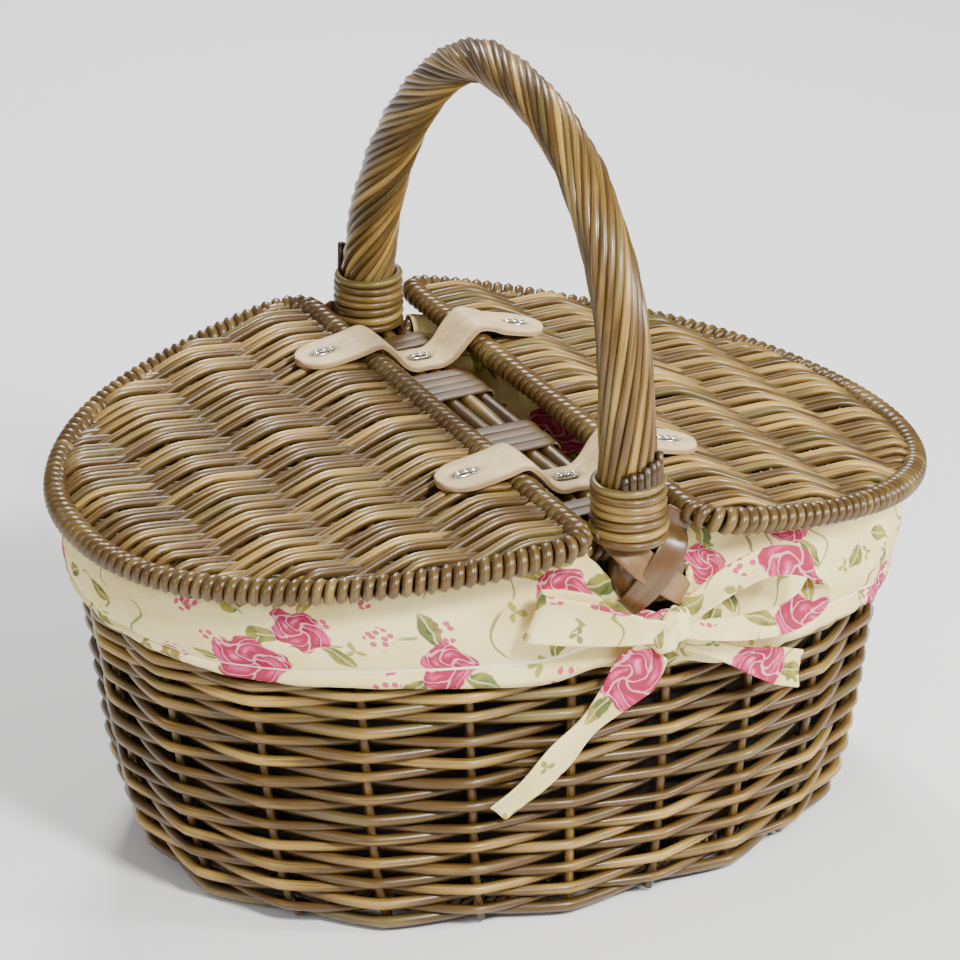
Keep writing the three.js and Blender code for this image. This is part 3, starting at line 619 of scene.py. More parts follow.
def rose_print_group() -> bpy.types.NodeTree:
    """Printed roses, leaves, stems and dots, laid out on the flat cloth in metres."""
    group, n, given, out = node_group(
        "rose_print", {"Cloth": VECTOR, "Ground": COLOR}, {"Color": COLOR}
    )
    cloth = given.outputs["Cloth"]
    wobble = n.vector("SUBTRACT", n.noise(cloth, 90.0, 2.0, "Color"), (0.5, 0.5, 0.5))
    place = n.vector("ADD", cloth, n.vector("MULTIPLY", wobble, (0.007, 0.007, 0.0)))
    cell = n.add(
        "ShaderNodeTexVoronoi",
        {"Vector": place, "Scale": 19.0, "Randomness": 0.72},
        voronoi_dimensions="2D",
    )
    local = n.vector("SUBTRACT", place, cell.outputs["Position"])
    x, y, _ = n.parts(local)
    red, green, blue = n.parts(cell.outputs["Color"])
    far = n.vector("LENGTH", n.vector("MULTIPLY", local, (1.0, 1.0, 0.0)))
    angle = n.math("ARCTAN2", y, x)
    size = n.math("ADD", 0.0085, n.math("MULTIPLY", red, 0.0080))
    lobes = n.math(
        "SINE", n.math("ADD", n.math("MULTIPLY", angle, 5.0), n.math("MULTIPLY", green, TURN))
    )
    edge = n.math("MULTIPLY", size, n.math("ADD", 1.0, n.math("MULTIPLY", lobes, 0.08)))
    rose = n.ramp(n.math("SUBTRACT", edge, far), -0.0002, 0.0006)
    rose = n.math("MULTIPLY", rose, n.math("GREATER_THAN", red, 0.18))
    ratio = n.math("DIVIDE", far, size)
    blotch = n.noise(place, 230.0, 3.0)
    curl = n.add(
        "ShaderNodeVectorRotate",
        {"Vector": local, "Angle": n.math("MULTIPLY", ratio, 2.2)},
        rotation_type="Z_AXIS",
    )
    petals = {"Vector": curl, "Scale": n.math("DIVIDE", 1.55, size), "Randomness": 0.9}
    petal_cell = n.add("ShaderNodeTexVoronoi", petals, voronoi_dimensions="2D")
    petal_edge = n.add(
        "ShaderNodeTexVoronoi", petals, voronoi_dimensions="2D", feature="DISTANCE_TO_EDGE"
    ).outputs[0]
    tint, _, _ = n.parts(petal_cell.outputs["Color"])
    depth = n.math(
        "ADD",
        n.math("MULTIPLY", petal_cell.outputs["Distance"], 1.1),
        n.math("MULTIPLY", tint, 0.35),
    )
    depth = n.math("ADD", depth, n.math("MULTIPLY", n.math("SUBTRACT", blotch, 0.5), 0.7))
    petal = n.mix(n.ramp(depth, 0.15, 0.62), (0.66, 0.045, 0.19, 1), (0.34, 0.002, 0.055, 1))
    petal = n.mix(n.ramp(n.math("ADD", depth, ratio), 0.85, 0.35), petal, (0.88, 0.40, 0.50, 1))
    fine = n.ramp(
        n.math("ADD", petal_edge, n.math("MULTIPLY", n.math("SUBTRACT", blotch, 0.5), 0.12)),
        0.075,
        0.03,
    )
    petal = n.mix(n.math("MULTIPLY", fine, 0.6), petal, (0.90, 0.52, 0.56, 1))
    petal = n.mix(n.math("MULTIPLY", n.ramp(green, 0.82, 0.85), 0.6), petal, (0.86, 0.20, 0.12, 1))
    # Three leaves round each rose, pointed at both ends.
    third = n.math("MULTIPLY", n.math("ADD", angle, n.math("MULTIPLY", blue, TURN)), 3 / TURN)
    turned = n.math("MULTIPLY", n.math("SUBTRACT", n.math("FRACT", third), 0.5), TURN / 3)
    leaf_way = n.math("DIVIDE", n.math("SUBTRACT", far, n.math("MULTIPLY", size, 0.75)), 0.0175)
    leaf_wide = n.math("MULTIPLY", n.math("SINE", n.math("MULTIPLY", leaf_way, math.pi)), 0.0042)
    leaf_off = n.math("ABSOLUTE", n.math("MULTIPLY", n.math("SINE", turned), far))
    leaf = n.ramp(n.math("SUBTRACT", leaf_wide, leaf_off), -0.0001, 0.0006)
    leaf = n.math(
        "MULTIPLY",
        leaf,
        n.math("LESS_THAN", n.math("ABSOLUTE", n.math("SUBTRACT", leaf_way, 0.5)), 0.5),
    )
    vein = n.ramp(leaf_off, 0.0002, 0.0006)
    leaf_color = n.mix(
        n.ramp(n.noise(place, 130.0), 0.4, 0.6), (0.035, 0.085, 0.012, 1), (0.27, 0.22, 0.025, 1)
    )
    leaf_color = n.mix(vein, (0.50, 0.48, 0.24, 1), leaf_color)
    # Stems wander between the roses, as contour lines of a slow noise.
    slow = n.noise(cloth, 26.0, 1.0)
    stem = n.math(
        "SUBTRACT", 1.0, n.ramp(n.math("ABSOLUTE", n.math("SUBTRACT", slow, 0.5)), 0.005, 0.010)
    )
    stem = n.math("MULTIPLY", stem, n.ramp(n.noise(cloth, 40.0, 0.0), 0.46, 0.54))
    # Small sprigs: leaflets and dots in their own cells.
    sprig = n.add(
        "ShaderNodeTexVoronoi",
        {"Vector": place, "Scale": 42.0, "Randomness": 1.0},
        voronoi_dimensions="2D",
    )
    near = n.vector("SUBTRACT", place, sprig.outputs["Position"])
    sx, sy, _ = n.parts(near)
    pick, second, third_pick = n.parts(sprig.outputs["Color"])
    turn_by = n.math("MULTIPLY", second, TURN)
    sprig_angle = n.math("ADD", n.math("ARCTAN2", sy, sx), turn_by)
    sprig_far = n.vector("LENGTH", n.vector("MULTIPLY", near, (1.0, 1.0, 0.0)))
    leaflet_edge = n.math(
        "MULTIPLY",
        n.math("ABSOLUTE", n.math("COSINE", n.math("MULTIPLY", sprig_angle, 1.5))),
        0.0058,
    )
    leaflet = n.ramp(
        n.math("SUBTRACT", n.math("SUBTRACT", leaflet_edge, 0.0014), sprig_far), -0.0001, 0.0005
    )
    leaflet = n.math("MULTIPLY", leaflet, n.math("GREATER_THAN", pick, 0.52))
    dots = n.add(
        "ShaderNodeTexVoronoi",
        {"Vector": cloth, "Scale": 260.0, "Randomness": 0.7},
        voronoi_dimensions="2D",
    )
    dot = n.math(
        "MULTIPLY",
        n.math("LESS_THAN", dots.outputs["Distance"], 0.33),
        n.math("LESS_THAN", sprig_far, 0.0062),
    )
    dot = n.math("MULTIPLY", dot, n.math("LESS_THAN", pick, 0.3))
    ground = given.outputs["Ground"]
    drawn = n.mix(n.math("MULTIPLY", stem, 0.85), ground, (0.20, 0.19, 0.05, 1))
    drawn = n.mix(
        n.math("MULTIPLY", leaflet, 0.9),
        drawn,
        n.mix(third_pick, (0.34, 0.30, 0.05, 1), (0.12, 0.17, 0.04, 1)),
    )
    drawn = n.mix(n.math("MULTIPLY", dot, 0.9), drawn, (0.52, 0.02, 0.13, 1))
    drawn = n.mix(n.math("MULTIPLY", leaf, 0.9), drawn, leaf_color)
    n.put(out.inputs["Color"], n.mix(n.math("MULTIPLY", rose, 0.96), drawn, petal))
    return group


class Stain(Enum):
    """Named stains of the willow."""

    ROUND = "willow_rod"
    SPLIT = "willow_skein"


@dataclass(frozen=True)
class WillowFinish:
    """Antique-stained willow with a satin varnish, painted lighter where rods stand out and darker where they lie
    low.
    """

    stain: Stain
    dark: tuple = (0.016, 0.007, 0.002, 1)
    middle: tuple = (0.085, 0.043, 0.0080, 1)
    light: tuple = (0.46, 0.285, 0.070, 1)
    grey: tuple = (0.095, 0.082, 0.024, 1)
    gloss: float = 0.28

    def build(self, group: bpy.types.NodeTree) -> bpy.types.Material:
        """Make the material.

        Args:
            group: The rod stain group.

        Returns:
            The material.
        """
        material, n, shader = new_material(self.stain.value)
        stain = n.add("ShaderNodeGroup", node_tree=group)
        n.put(stain.inputs["Rod"], n.attribute("rod"))
        n.put(stain.inputs["Lift"], n.attribute("lift", "Fac"))
        for key, value in (
            ("Dark", self.dark),
            ("Middle", self.middle),
            ("Light", self.light),
            ("Grey", self.grey),
        ):
            stain.inputs[key].default_value = value
        bump = n.add(
            "ShaderNodeBump",
            {"Strength": 0.25, "Distance": 0.3 * MM, "Height": stain.outputs["Height"]},
        )
        n.put(shader.inputs["Base Color"], stain.outputs["Color"])
        n.put(shader.inputs["Roughness"], stain.outputs["Roughness"])
        n.put(shader.inputs["Normal"], bump)
        shader.inputs["Coat Weight"].default_value = self.gloss
        shader.inputs["Coat Roughness"].default_value = 0.22
        shader.inputs["Specular IOR Level"].default_value = 0.35
        return material


@dataclass(frozen=True)
class CottonFinish:
    """Cream cotton printed with roses, with painted shade on the bag's face against the weave."""

    ground: tuple = (0.84, 0.68, 0.27, 1)
    thread: float = 0.55 * MM
    # Painted shade for the face of the bag that lies against the weave.
    painted_back_shade: tuple = (0.012, 0.009, 0.006, 1)

    def build(self, group: bpy.types.NodeTree) -> bpy.types.Material:
        """Make the material.

        Args:
            group: The rose print group.

        Returns:
            The material.
        """
        material, n, shader = new_material("printed_cotton")
        cloth = n.attribute("cloth")
        across, along, _ = n.parts(cloth)
        slub = n.noise(cloth, 700.0, 2.0)
        ground = n.mix(n.ramp(n.noise(cloth, 35.0), 0.35, 0.65), self.ground, (0.94, 0.80, 0.38, 1))
        ground = n.mix(n.ramp(slub, 0.35, 0.65), n.mix(0.12, ground, (0.45, 0.38, 0.27, 1)), ground)
        printed = n.add("ShaderNodeGroup", {"Cloth": cloth, "Ground": ground}, node_tree=group)
        threads = [
            n.math("SINE", n.math("MULTIPLY", way, TURN / self.thread)) for way in (across, along)
        ]
        weave = n.math("MULTIPLY", n.math("ADD", *threads), 0.5)
        crease = n.noise(cloth, 60.0, 3.0)
        height = n.math("ADD", n.math("MULTIPLY", weave, 0.12), n.math("MULTIPLY", crease, 1.4))
        bump = n.add("ShaderNodeBump", {"Strength": 0.5, "Distance": 0.8 * MM, "Height": height})
        sewn = n.mix(
            n.ramp(n.attribute("seam", "Fac"), 0.62, 0.85),
            printed.outputs["Color"],
            (0.93, 0.86, 0.62, 1),
        )
        # Painted shade: where the shade attribute marks it, the cloth is painted near black.
        shaded = n.mix(n.attribute("shade", "Fac"), sewn, self.painted_back_shade)
        n.put(shader.inputs["Base Color"], shaded)
        n.put(shader.inputs["Normal"], bump)
        shader.inputs["Roughness"].default_value = 0.85
        shader.inputs["Specular IOR Level"].default_value = 0.2
        return material


@dataclass(frozen=True)
class LeatherFinish:
    """Undyed strap leather with a fine grain, darker cut edges and painted shade in the dents round the staples."""

    face: tuple = (0.76, 0.57, 0.28, 1)
    edge: tuple = (0.34, 0.21, 0.10, 1)
    # Painted shade for the dents round the staples.
    dent: tuple = (0.085, 0.045, 0.018, 1)

    def build(self) -> bpy.types.Material:
        """Make the material."""
        material, n, shader = new_material("tan_leather")
        place = n.add("ShaderNodeTexCoord").outputs["Object"]
        cloud = n.noise(place, 90.0, 4.0)
        pores = n.add(
            "ShaderNodeTexVoronoi", {"Vector": place, "Scale": 1500.0}
        ).outputs["Distance"]
        rim = n.attribute("edge", "Fac")
        face = n.mix(n.ramp(cloud, 0.35, 0.68), n.mix(0.35, self.face, self.edge), self.face)
        face = n.mix(n.ramp(n.noise(place, 320.0, 2.0), 0.56, 0.72), face, (0.82, 0.65, 0.38, 1))
        face = n.mix(n.math("MULTIPLY", n.ramp(rim, 0.3, 1.0), 0.8), face, self.edge)
        # Painted shade: the leather is painted dark in the dents.
        dent_shade = n.ramp(n.attribute("dent", "Fac"), 0.25, 0.85)
        n.put(
            shader.inputs["Base Color"], n.mix(n.math("MULTIPLY", dent_shade, 0.85), face, self.dent)
        )
        height = n.math("ADD", n.math("MULTIPLY", pores, 0.5), n.noise(place, 420.0, 3.0))
        n.put(
            shader.inputs["Normal"],
            n.add("ShaderNodeBump", {"Strength": 0.3, "Distance": 0.3 * MM, "Height": height}),
        )
        n.put(shader.inputs["Roughness"], n.math("ADD", 0.48, n.math("MULTIPLY", cloud, 0.2)))
        return material


@dataclass(frozen=True)
class SteelFinish:
    """Bright drawn wire."""

    color: tuple = (0.82, 0.83, 0.84, 1)

    def build(self) -> bpy.types.Material:
        """Make the material."""
        material, n, shader = new_material("steel_wire")
        place = n.add("ShaderNodeTexCoord").outputs["Object"]
        tarnish = n.ramp(n.noise(place, 600.0, 3.0), 0.5, 0.85)
        n.put(shader.inputs["Base Color"], n.mix(tarnish, self.color, (0.55, 0.54, 0.52, 1)))
        n.put(shader.inputs["Roughness"], n.math("ADD", 0.16, n.math("MULTIPLY", tarnish, 0.2)))
        shader.inputs["Metallic"].default_value = 1.0
        return material


class Finishes:
    """All the finishes, made once."""

    def __init__(self) -> None:
        """Make the node groups and the materials."""
        stain = stain_and_shade_group()
        self.willow = WillowFinish(Stain.ROUND).build(stain)
        self.skein = WillowFinish(
            Stain.SPLIT, dark=(0.022, 0.008, 0.003, 1), middle=(0.085, 0.038, 0.012, 1), light=(0.25, 0.135, 0.052, 1), gloss=0.3
        ).build(stain)
        self.cotton = CottonFinish().build(rose_print_group())
        self.leather = LeatherFinish().build()
        self.steel = SteelFinish().build()

    def dress(
        self, piece: bpy.types.Object, body: str, material: bpy.types.Material, *nodes: str
    ) -> None:
        """Give a piece its material and slot, let it ride on a body and stand for its frame nodes."""
        piece.data.materials.clear()
        piece.data.materials.append(material)
        if body:
            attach(piece, body)
        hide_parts(*nodes)
        LOG.info("%s: %d faces", piece.name, len(piece.data.polygons))


# ---- Woven body ---------------------------------------------------------------------------------


def wrapped_ring(
    bundle: RodBundle, path: Path, outward: Path, radius: float, rod: float, lay: float, starts: int
) -> None:
    """Wrap rods round a closed path like the strands of a rope.

    Args:
        bundle: Bundle that takes the rods.
        path: Closed centre line, evenly spread.
        outward: Direction across the path at each point.
        radius: Outer radius of the finished rope.
        rod: Radius of the rods.
        lay: Distance along the path between neighbouring rods.
        starts: Number of rods that run side by side.
    """
    count = len(path)
    length = float(np.linalg.norm(np.roll(path, -1, 0) - path, axis=1).sum())
    turns = max(1, round(length / (lay * starts)))
    samples = turns * 12
    share = np.arange(samples) / samples
    wrap = lambda values, at: np.stack(
        [np.interp(at * count, np.arange(count + 1), np.append(values[:, k], values[0, k])) for k in range(3)], 1
    )
    tangent = unit(np.roll(path, -1, 0) - np.roll(path, 1, 0))
    upward = unit(np.cross(outward, tangent))
    centre, out, up = wrap(path, share), unit(wrap(outward, share)), unit(wrap(upward, share))
    for start in range(starts):
        angle = share * turns * TURN + start * TURN / starts
        swell = 1 + 0.05 * np.sin(share * TURN * 7 + start)
        direction = np.cos(angle)[:, None] * out + np.sin(angle)[:, None] * up
        line = centre + direction * ((radius - rod) * swell)[:, None]
        # Painted shade: the strands count 2 mm low, so the stain paints the wrapped border darker.
        bundle.add(line, rod * swell, direction, depth=-2.0 * MM, reach=4.2 * MM, closed=True)


@dataclass
class WovenBody:
    """Base, foot border, stakes, side weave and rim border."""

    shape: BodyShape
    finishes: Finishes
    stakes: int = 22
    stake_radius: float = 2.2 * MM
    weaver_radius: float = 2.3 * MM
    row_pitch: float = 5.2 * MM
    foot_height: float = 4 * MM
    wall_middle: float = -5 * MM
    wave: float = 3.9 * MM
    turn: float = 0.0

    def build(self) -> None:
        """Make every piece of the woven body."""
        self.build_wall()
        self.build_borders()
        self.build_base()

    def build_wall(self) -> None:
        """Weave rows of rods in and out of the stakes."""
        shape, per_stake = self.shape, 12
        wall = RodBundle("side_weave_rods", seed=3)
        top = shape.rim_height - shape.rim_radius
        rows = int((top - self.foot_height) / self.row_pitch)
        s = np.arange(self.stakes * per_stake) / per_stake
        angle = shape.angles(s / self.stakes) + self.turn
        for row in range(rows):
            height = self.foot_height + row * self.row_pitch
            swing = zigzag(math.pi * (s + row), 0.995) * self.wave
            drift, slip = wall.rng.normal(0, 0.35 * MM, 2)
            z = height + drift + 0.35 * MM * np.sin(angle * 3 + row) + 0.3 * MM * np.sin(angle * 11 + slip * 9e3)
            line = shape.point(angle, self.wall_middle + swing, z)
            out = unit(line * np.array([1, 1, 0]) * np.array([0.5, 1.0, 0]))
            taper = 1 + 0.10 * np.sin(angle / 2 + row * 2.4) + wall.rng.normal(0, 0.035)
            wall.add(line, self.weaver_radius * taper, out, depth=swing, closed=True)
        piece = wall.build()
        self.finishes.dress(piece, "basket", self.finishes.willow, "side_weave")
        posts = RodBundle("side_stakes", seed=5)
        z = np.linspace(self.foot_height - 2 * MM, top, 16)
        for stake in range(self.stakes):
            angle = float(shape.angles(np.array(stake / self.stakes))) + self.turn
            line = shape.point(angle, self.wall_middle, z)
            # Painted shade: the stakes count 2 mm behind the weave, so the stain paints them darker.
            posts.add(line, self.stake_radius, unit(line[8] * np.array([1, 1, 0])), depth=-2 * MM)
        self.finishes.dress(posts.build(), "basket", self.finishes.willow)

    def build_borders(self) -> None:
        """Wrap the rim and the foot."""
        shape = self.shape
        angle = shape.angles(np.arange(240) / 240)
        out = unit(shape.point(angle, 0.01, 0.0) - shape.point(angle, 0.0, 0.0))
        rim = RodBundle("rim_border_rods", seed=7)
        path = shape.point(angle, self.wall_middle, shape.rim_height)
        wrapped_ring(rim, path, out, shape.rim_radius, 2.1 * MM, 5 * MM, 3)
        self.finishes.dress(rim.build(), "basket", self.finishes.willow, "rim_border")
        foot = RodBundle("foot_border_rods", seed=9)
        low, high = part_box("foot_border")
        path = shape.point(angle, -16 * MM, np.full(240, 0.5 * (low.z + high.z)), at=np.zeros(240))
        wrapped_ring(foot, path, out, 5 * MM, 2.0 * MM, 5 * MM, 3)
        self.finishes.dress(foot.build(), "basket", self.finishes.willow, "foot_border")

    def build_base(self) -> None:
        """Weave oval rows in and out of the base sticks."""
        shape = self.shape
        base = RodBundle("base_panel_rods", sides=5, seed=11)
        low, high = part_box("base_panel")
        middle = 0.5 * (low.z + high.z)
        half = (high.x - 2 * MM, high.y - 2 * MM)
        per_stick = 5
        s = np.arange(self.stakes * per_stick) / per_stick
        angle = TURN * s / self.stakes
        rows = 23
        for row in range(rows):
            share = (row + 1) / rows
            swing = np.cos(math.pi * (s + row)) * 1.8 * MM
            flat_out = (half[0] - half[1]) * 0.82
            x = (flat_out + (half[0] - flat_out) * share) * signed_power(
                np.cos(angle), 2 / shape.power
            )
            y = half[1] * share * signed_power(np.sin(angle), 2 / shape.power)
            line = np.stack([x, y, middle + swing], 1)
            base.add(
                line, 1.9 * MM, np.array([0, 0, -1.0]), depth=-swing, reach=4 * MM, closed=True
            )
        for stick in range(-5, 6):
            x = stick * half[0] / 6
            reach = half[1] * (1 - abs(x / half[0]) ** shape.power) ** (1 / shape.power)
            line = np.stack([np.full(9, x), np.linspace(-reach, reach, 9), np.full(9, middle)], 1)
            base.add(line, 2.3 * MM, np.array([0, 0, -1.0]), reach=4 * MM)
        self.finishes.dress(base.build(), "basket", self.finishes.willow, "base_panel")


# ---- Lids ---------------------------------------------------------------------------------------


@dataclass
class WovenLid:
    """One D-shaped lid: a wrapped border, sticks across it and a weave of thin rods."""

    name: str
    shape: LidShape
    finishes: Finishes
    rod: float = 2.2 * MM
    row_pitch: float = 4.0 * MM
    stick_radius: float = 2.2 * MM
    stick_first: float = 0.030
    stick_pitch: float = 0.041
    sticks: int = 4
    wave: float = 4.4 * MM

    def build(self) -> None:
        """Make the border, the sticks and the weave."""
        self.build_border()
        self.build_weave()

    def build_border(self) -> None:
        """Wrap the border all round the lid."""
        shape = self.shape
        flat = shape.outline(shape.border_radius, 300)
        tangent = unit(np.roll(flat, -1, 0) - np.roll(flat, 1, 0))
        out = np.stack([tangent[:, 1], -tangent[:, 0], tangent[:, 2] * 0], 1)
        placed_out = shape.place(flat + out * 0.01) - shape.place(flat)
        border = RodBundle(self.name + "_border_rods", seed=21)
        wrapped_ring(
            border, shape.place(flat), unit(placed_out), shape.border_radius, 2.45 * MM, 5.1 * MM, 1
        )
        self.finishes.dress(border.build(), self.name, self.finishes.willow, self.name + "_border")

    def build_weave(self) -> None:
        """Lay rods over and under the sticks, from the straight edge to the curved one."""
        shape = self.shape
        up = shape.place(np.array([0.05, 0, 0.01])) - shape.place(np.array([0.05, 0, 0]))
        first = shape.body.lid_inner_x + self.stick_first
        weave = RodBundle(self.name + "_weave_rods", seed=23 + int(shape.right))
        rows = int((shape.half_width - 8 * MM) / self.row_pitch)
        start = shape.body.lid_inner_x + 5 * MM
        for row in range(-rows, rows + 1):
            y = (row + 0.5) * self.row_pitch
            fine = np.linspace(start, shape.reach, 400)
            inside = fine[shape.width_at(fine, 7 * MM) > abs(y)]
            if len(inside) < 20 or abs(y) > shape.half_width - 7 * MM:
                continue
            x = np.linspace(start, inside[-1], max(8, int((inside[-1] - start) / (3.4 * MM))))
            phase = math.pi * ((x - first) / self.stick_pitch + row)
            fade = np.clip(np.minimum(x - x[0], x[-1] - x) / (9 * MM), 0, 1)
            swing = zigzag(phase, 0.95) * self.wave * fade
            skew = 0.8 * MM * np.sin(x * 40 + row * 1.7) + weave.rng.normal(0, 0.3 * MM)
            line = np.stack([x, y + skew, swing], 1)
            radius = self.rod * (1 + weave.rng.normal(0, 0.05) + 0.08 * np.sin(x * 22 + row))
            weave.add(shape.place(line), radius, unit(up), depth=swing, reach=5.5 * MM, both=True)
        self.finishes.dress(weave.build(), self.name, self.finishes.willow, self.name + "_weave")
        sticks = RodBundle(self.name + "_sticks", seed=29)
        nodes = []
        for index in range(self.sticks):
            x = first + index * self.stick_pitch
            reach = float(shape.width_at(np.array(x), 9 * MM))
            line = np.stack([np.full(12, x), np.linspace(-reach, reach, 12), np.zeros(12)], 1)
            sticks.add(shape.place(line), self.stick_radius, unit(up), both=True)
            nodes.append(f"{self.name}_stick_{index + 1}")
        self.finishes.dress(sticks.build(), self.name, self.finishes.willow, *nodes)


# ---- Handle and crossbar ------------------------------------------------------------------------


@dataclass
class Handle:
    """Hoop of twisted rods, its core, the bindings and the lashings at its feet."""

    finishes: Finishes
    strands: int = 16
    strand_radius: float = 2.15 * MM
    spread_low: float = 130 * MM
    spread_high: float = 128 * MM
    near_power: float = 2.5
    far_power: float = 1.6
    leg_share: float = 0.06
    core_radius: float = 7.6 * MM
    slim_power: float = 1.3
    binding_turns: int = 7
    cut_ends: int = 7
    cut_end_radius: float = 1.7 * MM
    cut_end_step: float = 13.5
    cut_end_start_near: float = -122
    cut_end_start_far: float = 58
    belly_out: float = 131.5 * MM
    belly_size: tuple = (17.0, 10.5, 14.5)
    skein_width: float = 13.5 * MM
    slim: float = 0.24
    twist_near: float = math.pi / 0.22
    twist_far: float = math.pi / 0.062

    def __post_init__(self) -> None:
        """Read the hoop's places off the frame."""
        _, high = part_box("handle_twisted_rods")
        foot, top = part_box("near_post_binding")
        self.radius = high.x
        self.apex = high.z - self.radius * (1 - self.slim)
        self.foot = foot.z + 1.5 * MM
        self.top = top.z - 1.4 * MM

    def centre_line(self, count: int) -> Path:
        """Centre line of the hoop from the near foot to the far one."""
        t = np.linspace(0, 1, 1200)
        side = np.where(t < 0.5, -1.0, 1.0)
        from_foot = np.minimum(t, 1 - t)
        leg = np.clip(from_foot / self.leg_share, 0, 1)
        angle = np.clip((from_foot - self.leg_share) / (0.5 - self.leg_share), 0, 1) * math.pi / 2
        power = 2 / np.where(side < 0, self.near_power, self.far_power)
        across = np.abs(np.cos(angle)) ** power
        rise = np.sin(angle) ** power
        y = side * (self.spread_low + (self.spread_high - self.spread_low) * leg) * across
        z = self.foot + (self.top - self.foot) * leg + (self.apex - self.top) * rise
        return resample(np.stack([0 * y, y, z], 1), count)

    def build(self) -> None:
        """Make the twisted rods, the core, the bindings and the lashings."""
        path = self.centre_line(110)
        along = arc_length(path) / arc_length(path)[-1]
        length = arc_length(path)[-1]
        tangent = unit(np.gradient(path, axis=0))
        sideways = np.tile([1.0, 0, 0], (len(path), 1))
        inward = np.cross(tangent, sideways)
        rise = np.clip((path[:, 2] - self.top) / (self.apex - self.top), 0, 1)
        share = 1 - self.slim * rise**self.slim_power
        rate = self.twist_near + (self.twist_far - self.twist_near) * np.clip(
            (along - 0.02) / 0.4, 0, 1
        ) ** 1.3
        twist = np.concatenate([[0], np.cumsum(rate[1:] * np.diff(along) * length)])
        rods = RodBundle("handle_twisted_strands", seed=31)
        for strand in range(self.strands):
            angle = TURN * strand / self.strands + twist
            direction = np.cos(angle)[:, None] * sideways + np.sin(angle)[:, None] * inward
            wander = 1 + 0.05 * np.sin(along * 30 + strand * 2.1)
            line = path + direction * ((self.radius - self.strand_radius) * wander * share)[:, None]
            radius = self.strand_radius * (1 + rods.rng.normal(0, 0.05)) * (0.35 + 0.65 * share)
            # Painted highlight: the strands count 1.7 mm proud, so the stain paints the handle lighter.
            rods.add(line, radius, direction, depth=1.7 * MM, reach=4.5 * MM)
        self.finishes.dress(rods.build(), "basket", self.finishes.willow, "handle_twisted_rods")
        core = RodBundle("handle_core_rod", sides=10, seed=33)
        # Painted shade: the core counts 6 mm inside, so the stain paints it dark.
        core.add(path, self.core_radius * share, np.array([1.0, 0, 0]), depth=-6 * MM)
        self.finishes.dress(core.build(), "basket", self.finishes.willow, "handle_core")
        for side, name in ((-1, "near"), (1, "far")):
            self.build_binding(side, name)
            self.build_lashing(side, name)

    def build_binding(self, side: int, name: str) -> None:
        """Stack rod rings round a post and stand the cut ends of the rods above them."""
        low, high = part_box(name + "_post_binding")
        bottom, top = low.z - 0.5 * MM, high.z
        pitch = (top - bottom) / self.binding_turns
        rod = pitch * 0.56
        rings = RodBundle(name + "_post_binding_rods", sides=8, seed=35)
        angle = np.arange(36) / 36 * TURN
        for turn in range(self.binding_turns):
            share = (turn + 0.5) / self.binding_turns
            y = side * (self.spread_low + (self.spread_high - self.spread_low) * share)
            radius = self.radius + rod * 0.9 + 0.9 * MM * (1 - share) ** 2
            z = bottom + (turn + 0.5) * pitch + 0.5 * MM * np.sin(angle + turn * 1.3)
            direction = np.stack([np.cos(angle), np.sin(angle), 0 * angle], 1)
            line = direction * radius + np.array([0, y, 0])
            line[:, 2] = z
            # Painted highlight: the rings count 1.2 mm proud, so the stain paints them lighter.
            rings.add(
                line,
                rod * (1 + rings.rng.normal(0, 0.04)),
                direction,
                depth=1.2 * MM,
                reach=4 * MM,
                closed=True,
            )
        first_end = self.cut_end_start_near if side < 0 else self.cut_end_start_far
        for index in range(self.cut_ends):
            around = math.radians(first_end + index * self.cut_end_step)
            direction = np.array([math.cos(around), math.sin(around), 0])
            base = np.array(
                [0, side * self.spread_high, top - 6 * MM]
            ) + direction * (self.radius + 1.4 * MM)
            tall = (11 + index * 1.1 + 0.6 * math.sin(index * 2.2)) * MM
            line = base + np.linspace(0, 1, 4)[:, None] * (
                np.array([0, 0, tall]) - direction * 0.6 * MM
            )
            # Painted shade: the cut ends count 3.2 mm low, so the stain paints them darker.
            rings.add(line, self.cut_end_radius, direction, depth=-3.2 * MM, reach=5 * MM)
        self.finishes.dress(rings.build(), "basket", self.finishes.willow, name + "_post_binding")

    def build_lashing(self, side: int, name: str) -> None:
        """Cross two broad skeins over a dark belly of bound rods under a post, with painted shade on one side of the
        belly.
        """
        low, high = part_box(name + "_post_lashing")
        middle = np.array(
            [0.5 * (low.x + high.x), side * self.belly_out, 0.5 * (low.z + high.z) + 1.5 * MM]
        )
        deselect()
        bpy.ops.mesh.primitive_uv_sphere_add(segments=40, ring_count=24, radius=1.0)
        belly = bpy.context.object
        points = np.array([v.co for v in belly.data.vertices])
        seams = 1 + 0.012 * np.sin(points[:, 0] * 16 + points[:, 2] * 9)
        placed = points * seams[:, None] * np.array(self.belly_size) * MM + middle
        belly.data.vertices.foreach_set("co", placed.astype(np.float32).ravel())
        rod = np.stack(
            [points[:, 2] * 0.02, points[:, 0] * 0.3, 0 * points[:, 0] + 0.31], 1
        ).astype(np.float32)
        belly.data.attributes.new(
            "rod", "FLOAT_VECTOR", "POINT"
        ).data.foreach_set("vector", rod.ravel())
